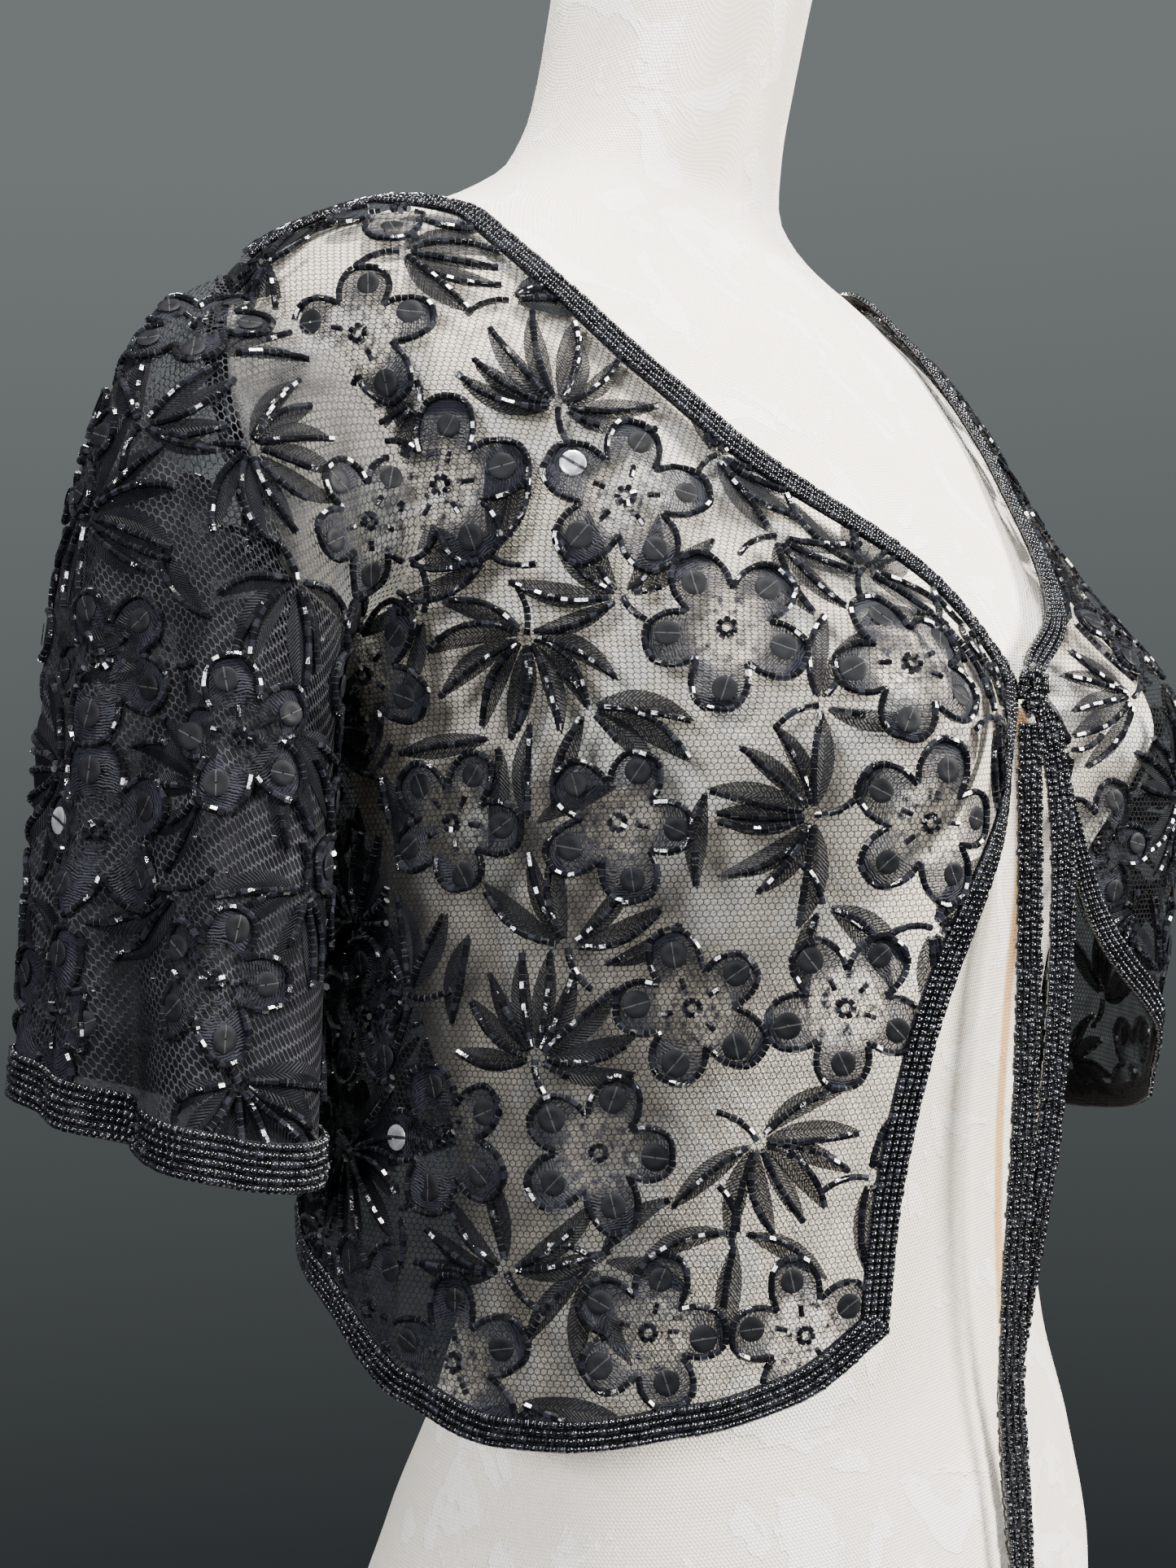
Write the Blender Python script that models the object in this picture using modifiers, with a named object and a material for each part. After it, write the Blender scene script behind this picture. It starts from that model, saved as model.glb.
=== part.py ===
"""Beaded lace shrug on a limbless dress form.

Metres, +Z up. The form stands on its flat base at z = 0, its front faces -Y
and the wearer's right is -X. The shrug is cut as a back, two fronts and two
flared sleeves, trimmed with flat bands of beads, and closes at one point on
the bust, where two flat beaded ties hang free. It has slipped a little to
the wearer's right, so the right front hangs lower than the left.
"""

import math
from collections import namedtuple

import bmesh
import bpy
import numpy as np

# Cloth and trim
WALL = 0.0012            # thickness of the beaded lace
SEAM_TRIM = 0.00025      # each piece stops this far short of its seam
TRIM_GAP = 0.0003        # air between a panel and the band that lies on it
BAND_TRIM = 0.0006       # bands stop this far short of each other
BAND_WIDTH = 0.010       # edge bands of three or four bead rows
BAND_THICK = 0.0017
CUFF_BAND_WIDTH = 0.015  # sleeve hems have five or six bead rows
HEM_CORNER_TRIM = 0.0018  # a front band stops this far above the hem band's corner

# The form, one row for each level, and the cloth round it below the shoulders
Section = namedtuple("Section", "half_width side_y front_y back_y squareness")
# z, half_width, side_y, front_y, back_y, squareness
FORM_SECTIONS = (
    (0.000, 0.1630, 0.005, -0.106, 0.116, 2.30),
    (0.050, 0.1700, 0.005, -0.112, 0.122, 2.30),
    (0.100, 0.1700, 0.004, -0.115, 0.122, 2.30),
    (0.150, 0.1570, 0.000, -0.113, 0.108, 2.25),
    (0.200, 0.1380, -0.006, -0.108, 0.089, 2.20),
    (0.240, 0.1290, -0.010, -0.107, 0.080, 2.20),
    (0.280, 0.1290, -0.010, -0.109, 0.081, 2.20),
    (0.330, 0.1370, -0.006, -0.115, 0.089, 2.25),
    (0.380, 0.1470, 0.000, -0.121, 0.098, 2.30),
    (0.430, 0.1570, 0.008, -0.121, 0.106, 2.40),
    (0.480, 0.1670, 0.018, -0.111, 0.112, 2.50),
    (0.530, 0.1800, 0.030, -0.091, 0.112, 2.60),
    (0.565, 0.1905, 0.041, -0.070, 0.108, 2.50),
    (0.583, 0.1905, 0.045, -0.058, 0.104, 2.40),
    (0.595, 0.1840, 0.048, -0.048, 0.100, 2.35),
    (0.606, 0.1700, 0.049, -0.040, 0.096, 2.30),
    (0.616, 0.1510, 0.048, -0.034, 0.092, 2.20),
    (0.625, 0.1290, 0.044, -0.028, 0.086, 2.10),
    (0.634, 0.1030, 0.038, -0.025, 0.080, 2.05),
    (0.644, 0.0830, 0.031, -0.024, 0.073, 2.00),
    (0.656, 0.0680, 0.021, -0.028, 0.066, 2.00),
    (0.680, 0.0595, 0.010, -0.036, 0.056, 2.00),
    (0.720, 0.0570, -0.002, -0.050, 0.046, 2.00),
    (0.760, 0.0560, -0.013, -0.063, 0.037, 2.00),
    (0.768, 0.0500, -0.014, -0.058, 0.030, 2.00),
    (0.771, 0.0300, -0.014, -0.040, 0.012, 2.00),
)
# z, half_width, side_y, front_y, back_y, squareness
CLOTH_SECTIONS = (
    (0.180, 0.1910, -0.002, -0.1190, 0.122, 2.20),
    (0.230, 0.1890, -0.002, -0.1190, 0.121, 2.20),
    (0.280, 0.1850, -0.001, -0.1200, 0.120, 2.20),
    (0.330, 0.1810, 0.000, -0.1220, 0.119, 2.25),
    (0.380, 0.1770, 0.004, -0.1245, 0.118, 2.30),
    (0.430, 0.1750, 0.010, -0.1245, 0.117, 2.40),
    (0.480, 0.1775, 0.018, -0.1150, 0.117, 2.50),
    (0.530, 0.1850, 0.030, -0.0930, 0.115, 2.60),
    (0.565, 0.1935, 0.041, -0.0710, 0.110, 2.50),
    (0.583, 0.1925, 0.045, -0.0585, 0.106, 2.40),
    (0.595, 0.1868, 0.048, -0.0482, 0.1035, 2.35),
    (0.606, 0.1728, 0.049, -0.0400, 0.0998, 2.30),
    (0.616, 0.1538, 0.048, -0.0340, 0.0948, 2.20),
) + FORM_SECTIONS[17:21]

# Bust of the form, and the cloth that bridges it and hangs from it
BUST_X = 0.087
BUST_Z = 0.425
BUST_RISE = 0.041
BUST_WIDTH = 0.056
BUST_HEIGHT = 0.056
BUST_WRAP = 1.6          # how far round the sides the bust keeps its full rise
CLOTH_BUST_WIDTH = 0.058
CLOTH_HANG = 0.30        # how slowly the fall below the bust dies away
HANG_FADE = 0.5          # share of the fall that is lost over that height
CLOTH_REST = 0.0026      # the cloth's middle layer stands off the form by this
NORMAL_STEP = 1e-4       # step in angle and height used to find the cloth's normal

# Edges of the cut. Front edges: x across and z up, from hem corner to shoulder
# x, z
FRONT_EDGE = {
    "right": (
        (0.097, 0.238), (0.096, 0.272), (0.093, 0.304), (0.084, 0.350), (0.066, 0.384),
        (0.028, 0.418), (0.005, 0.444), (0.030, 0.470), (0.072, 0.500), (0.097, 0.522),
        (0.116, 0.548), (0.130, 0.576), (0.136, 0.598), (0.135, 0.611),
    ),
    "left": (
        (0.103, 0.284), (0.100, 0.296), (0.090, 0.308), (0.068, 0.324), (0.048, 0.341),
        (0.032, 0.362), (0.018, 0.400), (0.005, 0.444), (0.036, 0.472), (0.056, 0.506),
        (0.068, 0.532), (0.078, 0.560), (0.084, 0.584), (0.092, 0.606), (0.102, 0.621),
    ),
}
# Hem: angle round the body from the centre front, and z
# angle, z
HEM = {
    "right": ((38, 0.220), (49, 0.213), (62, 0.210), (74, 0.211), (90, 0.222)),
    "left": ((40, 0.276), (50, 0.271), (64, 0.267), (77, 0.265), (90, 0.266)),
}
BACK_HEM_RIGHT_FALL = ((90, 0.222), (104, 0.244), (125, 0.258), (150, 0.264), (180, 0.267))
BACK_HEM_LEFT_FALL = ((90, 0.266), (104, 0.268), (125, 0.270), (150, 0.269), (180, 0.267))
# Shoulder seam: angle round the body and z at its neck end and its tip
NECK_POINT = {"right": (82, 0.6225), "left": (82, 0.6285)}
SHOULDER_TIP = {"right": (97, 0.592), "left": (95, 0.596)}
UNDERARM_Z = {"right": 0.470, "left": 0.480}
# Armhole: angle round the body, and the share of the way up from the underarm
ARMHOLE_FRONT = ((90, 0.0), (84, 0.08), (77, 0.36), (78, 0.72))
ARMHOLE_BACK = ((90, 0.0), (97, 0.08), (106, 0.36), (108, 0.72))
# Back of the neck, between the shoulder seams: angle, z
BACK_NECK = ((110, 0.6295), (145, 0.630), (180, 0.628), (215, 0.628), (250, 0.6235))

# Sleeve: level and half sizes of its hem loop, and the folds round it
SEAM_STAND = WALL + TRIM_GAP  # a sleeve starts this far outside the panels' middle layer
SIDE_STAND = WALL + 5 * TRIM_GAP  # and hangs at least this far outside the body's side
SLEEVE_HEM = {
    "right": dict(x=0.243, y=0.046, z=0.312, reach_x=0.040, reach_y=0.056),
    "left": dict(x=0.240, y=0.042, z=0.326, reach_x=0.038, reach_y=0.056),
}
SLEEVE_HEM_DIP = 0.015   # the hem's front is lower and its back higher by this
SLEEVE_HEM_KICK = 0.006  # its outer side is higher and its body side lower by this
SLEEVE_CAP = 0.085       # how fast the cap turns down over the shoulder
SLEEVE_FALL = 0.42       # share of the flare that is left below the cap
FOLD_OUTWARD = 0.6       # share of a fold's depth that it has on the outer side
FOLD_GROWTH = 0.8        # below 1, folds deepen soon after they start
# angle, depth, spread, start, lean (degrees that the valley slips under its front side)
SLEEVE_FOLDS = (
    (67.5, 0.0300, 16, 0.20, 4),
    (20, 0.0080, 13, 0.45, 2),
    (106, 0.0080, 13, 0.40, 2),
    (146, 0.0120, 13, 0.30, 3),
    (-140, 0.0050, 16, 0.50, 0),
    (-60, 0.0050, 18, 0.55, 0),
)

# Closure and ties
KNOT = (0.0, 0.442)
KNOT_SIZE = (0.0095, 0.0045, 0.0110)
KNOT_SINK = 0.0008       # the knot sits down between the two bands by this
TIE_WIDTH = 0.0095
TIE_THICK = 0.0022
TIE_TOP = KNOT[1] - KNOT_SIZE[2] - TRIM_GAP
# z, x, y, turn
TIE_RIGHT = (
    (TIE_TOP, -0.0035, -0.1405, -40),
    (0.395, -0.0055, -0.1395, -45),
    (0.350, -0.0065, -0.1375, -45),
    (0.290, -0.0075, -0.1330, -46),
    (0.235, -0.0080, -0.1270, -52),
    (0.190, -0.0075, -0.1235, -60),
    (0.150, -0.0070, -0.1240, -52),
    (0.110, -0.0075, -0.1245, -40),
    (0.074, -0.0080, -0.1245, -32),
)
# z, x, y, turn
TIE_LEFT = (
    (TIE_TOP, 0.0050, -0.1435, -40),
    (0.395, 0.0045, -0.1470, -45),
    (0.350, 0.0035, -0.1450, -45),
    (0.290, 0.0015, -0.1385, -50),
    (0.235, 0.0005, -0.1270, -60),
    (0.190, 0.0005, -0.1185, -50),
    (0.150, 0.0010, -0.1180, -30),
    (0.110, 0.0030, -0.1195, -22),
    (0.082, 0.0045, -0.1200, -18),
)

# Facets
FORM_STEPS = (44, 33)
FORM_SHOULDER_ROW = 10   # from this section up, the form's rings lie on its sections
FRONT_STEPS = (13, 26)
BACK_NECK_STEPS = 8
ROW_CROWD = 1.25         # the panels' rows are closer at the shoulder
TIP_COLUMNS = 2          # a shoulder band stops this many columns short of the armhole
SLEEVE_STEPS = (40, 13)
ARMHOLE_SAMPLES = 60     # fine points along each half of an armhole
CAP_CROWD = 1.35         # a sleeve's rows are closer over the cap
TIE_STEPS = 26
KNOT_STEPS = (16, 10)

Finish = namedtuple("Finish", "name colour roughness coat")
LACE = Finish("beaded_lace", (0.018, 0.019, 0.024, 1.0), 0.55, 0.0)
BEADS = Finish("glass_beads", (0.006, 0.006, 0.008, 1.0), 0.18, 0.6)
COVER = Finish("form_cover", (0.86, 0.84, 0.79, 1.0), 0.65, 0.0)


def smooth_read(table, at):
    """Values of a table's columns at `at`, a smooth curve through its rows."""
    rows = np.array(table, float)
    keys, values = rows[:, 0], rows[:, 1:]
    at = np.clip(np.asarray(at, float), keys.min(), keys.max())
    rate = np.diff(values, axis=0) / np.diff(keys)[:, None]
    before, after = rate[:-1], rate[1:]
    total = np.where(before * after > 0, before + after, 1.0)
    inner = np.where(before * after > 0, 2 * before * after / total, 0.0)
    slopes = np.concatenate([rate[:1], inner, rate[-1:]])
    i = np.clip(np.searchsorted(keys, at) - 1, 0, len(keys) - 2)
    span = (keys[i + 1] - keys[i])[..., None]
    t = ((at - keys[i]) / (keys[i + 1] - keys[i]))[..., None]
    return (
        (2 * t**3 - 3 * t**2 + 1) * values[i]
        + (t**3 - 2 * t**2 + t) * span * slopes[i]
        + (3 * t**2 - 2 * t**3) * values[i + 1]
        + (t**3 - t**2) * span * slopes[i + 1]
    )


def path_read(points, count, crowd=1.0):
    """`count` points along a smooth path through `points`, closer at its end if crowd > 1."""
    pts = np.array(points, float)
    run = np.concatenate([[0.0], np.cumsum(np.linalg.norm(np.diff(pts, axis=0), axis=1))])
    table = np.column_stack([run, pts])
    share = 1.0 - (1.0 - np.linspace(0.0, 1.0, count)) ** crowd
    return smooth_read(table, run[-1] * share)


def body_point(sections, angle, z, bust_width, hang):
    """Point of the form or cloth at an angle from the front (+ is left) and a height."""
    level = Section(*np.moveaxis(smooth_read(sections, z), -1, 0))
    power = 2.0 / level.squareness
    sine, cosine = np.sin(angle), np.cos(angle)
    x = level.half_width * np.sign(sine) * np.abs(sine) ** power
    reach = np.abs(cosine) ** power
    end_y = np.where(cosine > 0, level.front_y, level.back_y)
    y = level.side_y + (end_y - level.side_y) * reach
    rise = z - BUST_Z
    height = np.where(rise > 0, BUST_HEIGHT, hang)
    fade = np.where(rise < 0, 1.0 + rise * HANG_FADE / hang, 1.0)
    front = np.clip(cosine * BUST_WRAP, 0.0, 1.0)
    for side in (-1.0, 1.0):
        swell = np.exp(-(((x - side * BUST_X) / bust_width) ** 2) - (rise / height) ** 2)
        y = y - BUST_RISE * fade * swell * front
    return np.stack([x, y, z + 0.0 * x], axis=-1)


def form_surface(angle, z):
    """Point of the dress form."""
    return body_point(FORM_SECTIONS, angle, z, BUST_WIDTH, BUST_HEIGHT)


def cloth_surface(angle, z, lift=0.0):
    """Point of the cloth's middle layer, or `lift` outside it, along its normal."""
    def bare(a, h):
        return body_point(CLOTH_SECTIONS, a, h, CLOTH_BUST_WIDTH, CLOTH_HANG)

    point = bare(angle, z)
    around = bare(angle + NORMAL_STEP, z) - bare(angle - NORMAL_STEP, z)
    up = bare(angle, z + NORMAL_STEP) - bare(angle, z - NORMAL_STEP)
    normal = np.cross(around, up)
    normal /= np.linalg.norm(normal, axis=-1, keepdims=True)
    return point + normal * (CLOTH_REST + lift)


def angle_at(x, z):
    """Angle round the cloth where its front has this x."""
    level = Section(*np.moveaxis(smooth_read(CLOTH_SECTIONS, z), -1, 0))
    return np.arcsin(np.clip(x / level.half_width, 0.0, 1.0) ** (level.squareness / 2.0))


def coons(bottom, top, left, right):
    """Grid of (angle, z) pairs filled in between four edges."""
    rows, cols = len(left), len(bottom)
    v = np.linspace(0.0, 1.0, rows)[:, None, None]
    u = np.linspace(0.0, 1.0, cols)[None, :, None]
    ruled_v = (1 - v) * bottom[None] + v * top[None]
    ruled_u = (1 - u) * left[:, None] + u * right[:, None]
    corners = (
        (1 - v) * ((1 - u) * bottom[0] + u * bottom[-1])
        + v * ((1 - u) * top[0] + u * top[-1])
    )
    return ruled_v + ruled_u - corners


def inset(grid, axis, first, last=None):
    """Moves a grid's second row or column to lie `first` from its edge, and `last` likewise."""
    g = np.moveaxis(grid, axis, 0)
    run = np.concatenate([
        np.zeros((1,) + g.shape[1:-1]),
        np.cumsum(np.linalg.norm(np.diff(g, axis=0), axis=-1), axis=0),
    ])
    out = g.copy()
    for k in range(g.shape[1]):
        total = run[-1, k]
        near = run[1, k]
        far = run[-2, k] if last else total
        goal = total - last if last else total
        inner = first + (run[1:-1, k] - near) * (goal - first) / (far - near)
        marks = np.concatenate([[0.0], inner, [total]])
        out[:, k] = np.stack([np.interp(marks, run[:, k], g[:, k, c]) for c in range(3)], axis=-1)
    return np.moveaxis(out, 0, axis)


def grid_normals(grid, wrap=False):
    """Unit normals of a grid of points."""
    if wrap:
        across = np.roll(grid, -1, axis=1) - np.roll(grid, 1, axis=1)
    else:
        across = np.gradient(grid, axis=1)
    up = np.gradient(grid, axis=0)
    normal = np.cross(across, up)
    return normal / np.linalg.norm(normal, axis=-1, keepdims=True)


def trimmed(grid, sides):
    """Pulls a grid's named sides in by the given lengths, so that it stops short there."""
    out = grid.copy()
    for side, by in sides.items():
        edge, inner = {
            "bottom": (np.s_[0], np.s_[1]),
            "top": (np.s_[-1], np.s_[-2]),
            "left": (np.s_[:, 0], np.s_[:, 1]),
            "right": (np.s_[:, -1], np.s_[:, -2]),
        }[side]
        run = out[inner] - out[edge]
        out[edge] = out[edge] + run / np.linalg.norm(run, axis=-1, keepdims=True) * by
    return out


def armhole_edge(side, table):
    """(angle, z) pairs from the underarm up to the shoulder tip."""
    tip_angle, high = SHOULDER_TIP[side]
    low = UNDERARM_Z[side]
    rows = [(math.radians(angle), low + (high - low) * share) for angle, share in table]
    return rows + [(math.radians(tip_angle), high)]


def front_grid(side):
    """Middle layer of a front: rows from hem to shoulder, columns from the centre out."""
    cols, rows = FRONT_STEPS[0] + 1, FRONT_STEPS[1] + 1
    edge = [(float(angle_at(x, z)), z) for x, z in FRONT_EDGE[side]]
    neck_angle, neck_z = NECK_POINT[side]
    edge.append((math.radians(neck_angle), neck_z))
    left = path_read(edge, rows, ROW_CROWD)
    hem = [edge[0]] + [(math.radians(angle), z) for angle, z in HEM[side]]
    bottom = path_read(hem, cols)
    seam_top = armhole_edge(side, ARMHOLE_FRONT)
    right = path_read([hem[-1], *seam_top], rows, ROW_CROWD)
    top = path_read([edge[-1], seam_top[-1]], cols)
    flat = coons(bottom, top, left, right)
    sign = -1.0 if side == "right" else 1.0
    grid = cloth_surface(flat[..., 0], flat[..., 1])
    grid = inset(grid, 1, BAND_WIDTH)
    grid = inset(grid, 0, BAND_WIDTH, BAND_WIDTH)
    # The row that comes nearest to the closure ends there
    closure = cloth_surface(*np.array(min(edge)))
    meeting = np.argmin(np.linalg.norm(grid[:, 0] - closure, axis=-1))
    grid[meeting, :2] += closure - grid[meeting, 0]
    grid[..., 0] *= sign
    return grid if side == "left" else grid[:, ::-1]


def back_grid(front_left, front_right):
    """Middle layer of the back: columns from the wearer's left round to the right."""
    per_seam, rows = FRONT_STEPS[0], FRONT_STEPS[1] + 1
    cols = 2 * per_seam + BACK_NECK_STEPS + 1
    hem = [(math.radians(a), z) for a, z in BACK_HEM_LEFT_FALL]
    hem += [(2 * math.pi - math.radians(a), z) for a, z in BACK_HEM_RIGHT_FALL[-2::-1]]
    bottom = path_read(hem, cols)
    arm_left = armhole_edge("left", ARMHOLE_BACK)
    arm_right = [(2 * math.pi - a, z) for a, z in armhole_edge("right", ARMHOLE_BACK)]
    left = path_read([hem[0], *arm_left], rows, ROW_CROWD)
    right = path_read([hem[-1], *arm_right], rows, ROW_CROWD)
    neck_left = (math.radians(NECK_POINT["left"][0]), NECK_POINT["left"][1])
    neck_right = (2 * math.pi - math.radians(NECK_POINT["right"][0]), NECK_POINT["right"][1])
    seam_left = np.linspace(arm_left[-1], neck_left, per_seam, endpoint=False)
    seam_right = np.linspace(neck_right, arm_right[-1], per_seam + 1)[1:]
    nape = [(math.radians(a), z) for a, z in BACK_NECK]
    neck = path_read([neck_left, *nape, neck_right], BACK_NECK_STEPS + 1)
    top = np.concatenate([seam_left, neck, seam_right])
    flat = coons(bottom, top, left, right)
    grid = cloth_surface(flat[..., 0], flat[..., 1])
    # The shoulder seams share the fronts' points
    grid[-1, :per_seam + 1] = front_left[-1, ::-1]
    grid[-1, -per_seam - 1:] = front_right[-1, ::-1]
    return inset(grid, 0, BAND_WIDTH, BAND_WIDTH)


def armhole_loop(side, count):
    """Start of a sleeve, just outside the body: from the tip down the front, up the back."""
    front = path_read(armhole_edge(side, ARMHOLE_FRONT), ARMHOLE_SAMPLES)
    back = path_read(armhole_edge(side, ARMHOLE_BACK), ARMHOLE_SAMPLES)
    loop = np.concatenate([front[::-1], back[1:]])
    points = cloth_surface(loop[:, 0], loop[:, 1], SEAM_STAND)
    run = np.concatenate([[0.0], np.cumsum(np.linalg.norm(np.diff(points, axis=0), axis=1))])
    share = np.arange(count) / count
    start = np.stack([np.interp(share * run[-1], run, points[:, c]) for c in range(3)], axis=-1)
    return start, share


def sleeve_grid(side):
    """Middle layer of a sleeve: rows from the armhole to the hem, columns round it."""
    around, down = SLEEVE_STEPS[0], SLEEVE_STEPS[1] + 1
    hem = SLEEVE_HEM[side]
    sign = -1.0 if side == "right" else 1.0
    start, share = armhole_loop(side, around)
    start[:, 0] *= sign
    # Turn from outside (90) to the front (0), the body side (-90) and the back (180)
    turn = np.radians(90.0) - 2 * math.pi * share
    degrees = (np.degrees(turn) + 180.0) % 360.0 - 180.0
    grid = np.zeros((down, around, 3))
    for row in range(down):
        s = (row / (down - 1)) ** CAP_CROWD
        spread = 1.0 - (1.0 - s) * (SLEEVE_FALL + (1.0 - SLEEVE_FALL) * math.exp(-s / SLEEVE_CAP))
        fold = np.zeros(around)
        slip = np.zeros(around)
        for angle, depth, width, begin, lean in SLEEVE_FOLDS:
            away = (degrees - angle + 180.0) % 360.0 - 180.0
            grow = np.clip((s - begin) / (1.0 - begin), 0.0, 1.0) ** FOLD_GROWTH
            valley = grow * np.exp(-((away / width) ** 2))
            fold += depth * valley
            slip += math.radians(lean) * valley
        across = np.sin(turn - slip)
        along = np.cos(turn - slip)
        end = np.stack([
            sign * (hem["x"] + (hem["reach_x"] - fold * FOLD_OUTWARD) * across),
            hem["y"] - (hem["reach_y"] - fold) * along,
            hem["z"] - SLEEVE_HEM_DIP * along + SLEEVE_HEM_KICK * across,
        ], axis=-1)
        grid[row] = start + (end - start) * np.array([spread, spread, s])
    # The rows stay outside the body's side wall
    side_wall = np.abs(cloth_surface(np.full(grid.shape[:2], math.pi / 2), grid[..., 2])[..., 0])
    clear = side_wall + SIDE_STAND
    too_near = (np.sin(turn) < 0.0)[None, :] & (np.abs(grid[..., 0]) < clear)
    too_near[0] = False
    grid[..., 0] = np.where(too_near, sign * clear, grid[..., 0])
    return grid


def material(finish):
    """A Principled material."""
    mat = bpy.data.materials.new(finish.name)
    mat.use_nodes = True
    shader = mat.node_tree.nodes["Principled BSDF"]
    shader.inputs["Base Color"].default_value = finish.colour
    shader.inputs["Roughness"].default_value = finish.roughness
    shader.inputs["Metallic"].default_value = 0.0
    shader.inputs["Coat Weight"].default_value = finish.coat
    mat.diffuse_color = finish.colour
    return mat


def grid_object(name, grid, collection, mat, thick, side, wrap=False):
    """An open grid surface with Solidify: side 0 is centred, 1 grows outwards."""
    rows, cols = grid.shape[:2]
    bm = bmesh.new()
    verts = [[bm.verts.new(grid[r, c]) for c in range(cols)] for r in range(rows)]
    for r in range(rows - 1):
        for c in range(cols if wrap else cols - 1):
            d = (c + 1) % cols
            bm.faces.new((verts[r][c], verts[r][d], verts[r + 1][d], verts[r + 1][c]))
    mesh = bpy.data.meshes.new(name)
    bm.to_mesh(mesh)
    bm.free()
    obj = bpy.data.objects.new(name, mesh)
    mesh.materials.append(mat)
    collection.objects.link(obj)
    shell = obj.modifiers.new("wall", "SOLIDIFY")
    shell.thickness = thick
    shell.offset = side
    return obj


def form_object(collection, mat):
    """The dress form: a closed loft through its sections."""
    around, levels = FORM_STEPS
    angles = np.linspace(0.0, 2 * math.pi, around, endpoint=False)
    tops = [row[0] for row in FORM_SECTIONS[FORM_SHOULDER_ROW:]]
    heights = np.concatenate([np.linspace(0.0, tops[0], levels - len(tops)), tops[1:]])
    bm = bmesh.new()
    rings = []
    for z in heights:
        points = form_surface(angles, np.full(around, z))
        rings.append([bm.verts.new(p) for p in points])
    for low, high in zip(rings, rings[1:]):
        for c in range(around):
            d = (c + 1) % around
            bm.faces.new((low[c], low[d], high[d], high[c]))
    bm.faces.new(rings[0][::-1])
    bm.faces.new(rings[-1])
    mesh = bpy.data.meshes.new("dress_form")
    bm.to_mesh(mesh)
    bm.free()
    obj = bpy.data.objects.new("dress_form", mesh)
    mesh.materials.append(mat)
    collection.objects.link(obj)


def band_on(name, grid, collection, mat, trims, wrap=False):
    """A beaded band that lies on the given strip of a panel's points."""
    strip = trimmed(grid, trims)
    raised = strip + grid_normals(strip, wrap) * (WALL / 2 + TRIM_GAP)
    grid_object(name, raised, collection, mat, BAND_THICK, 1.0, wrap)


def tie_object(name, table, collection, mat):
    """A flat hanging strip of beads."""
    rows = np.array(sorted(table))
    heights = np.linspace(rows[0, 0], rows[-1, 0], TIE_STEPS)
    x, y, turn = np.moveaxis(smooth_read(rows, heights), -1, 0)
    across = np.stack([np.cos(np.radians(turn)), np.sin(np.radians(turn)), 0 * turn], axis=-1)
    middle = np.stack([x, y, heights], axis=-1)
    half = TIE_WIDTH / 2
    grid = np.stack([middle - across * half, middle + across * half], axis=1)
    grid_object(name, grid, collection, mat, TIE_THICK, 0.0)


def knot_object(collection, mat, spot):
    """The small beaded knot that joins the fronts."""
    segments, rings = KNOT_STEPS
    bpy.ops.mesh.primitive_uv_sphere_add(
        segments=segments, ring_count=rings, radius=1.0, location=spot
    )
    obj = bpy.context.object
    obj.name = "closure_knot"
    obj.data.name = "closure_knot"
    obj.scale = KNOT_SIZE
    obj.data.materials.append(mat)
    for owner in list(obj.users_collection):
        owner.objects.unlink(obj)
    collection.objects.link(obj)


def build():
    """Builds every piece of the shrug and its form."""
    for obj in list(bpy.data.objects):
        bpy.data.objects.remove(obj, do_unlink=True)
    collection = bpy.data.collections.new("beaded_lace_shrug_on_dress_form")
    bpy.context.scene.collection.children.link(collection)
    lace = material(LACE)
    beads = material(BEADS)
    cover = material(COVER)

    form_object(collection, cover)
    fronts = {side: front_grid(side) for side in ("right", "left")}
    back = back_grid(fronts["left"], fronts["right"])
    seams = {"top": SEAM_TRIM, "left": SEAM_TRIM, "right": SEAM_TRIM}
    grid_object("back_panel", trimmed(back, seams), collection, lace, WALL, 0.0)
    ends = {"left": BAND_TRIM, "right": BAND_TRIM}
    neck = back[-2:, FRONT_STEPS[0]:-FRONT_STEPS[0]]
    band_on("back_neck_band", neck, collection, beads, ends)
    band_on("hem_band_back", back[:2], collection, beads, ends)

    for side, front in fronts.items():
        # On the right the columns run from the armhole to the centre
        outer, centre = ("left", "right") if side == "right" else ("right", "left")
        panel = trimmed(front, {"top": SEAM_TRIM, outer: SEAM_TRIM})
        grid_object(f"front_{side}", panel, collection, lace, WALL, 0.0)
        inner_cols = np.s_[-2:] if side == "right" else np.s_[:2]
        seam_cols = np.s_[TIP_COLUMNS:-1] if side == "right" else np.s_[1:-TIP_COLUMNS]
        edge_trims = {"bottom": HEM_CORNER_TRIM, "top": BAND_TRIM}
        band_on(f"front_band_{side}", front[1:, inner_cols], collection, beads, edge_trims)
        band_on(f"hem_band_{side}", front[:2], collection, beads, {outer: BAND_TRIM})
        seam_trims = {"top": BAND_TRIM, centre: BAND_TRIM}
        band_on(f"shoulder_band_{side}", front[-2:, seam_cols], collection, beads, seam_trims)

        sleeve = sleeve_grid(side)[::-1]
        if side == "left":
            sleeve = sleeve[:, ::-1]
        grid_object(f"sleeve_{side}", sleeve, collection, lace, WALL, 0.0, wrap=True)
        cuff = inset(sleeve, 0, CUFF_BAND_WIDTH)[:2]
        band_on(f"sleeve_band_{side}", cuff, collection, beads, {}, wrap=True)

    spot = cloth_surface(np.array(0.0), np.array(KNOT[1]))
    stand_off = WALL / 2 + TRIM_GAP + BAND_THICK + TRIM_GAP + KNOT_SIZE[1] - KNOT_SINK
    knot_object(collection, beads, (KNOT[0], float(spot[1]) - stand_off, KNOT[1]))
    tie_object("tie_right", TIE_RIGHT, collection, beads)
    tie_object("tie_left", TIE_LEFT, collection, beads)


build()
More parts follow.
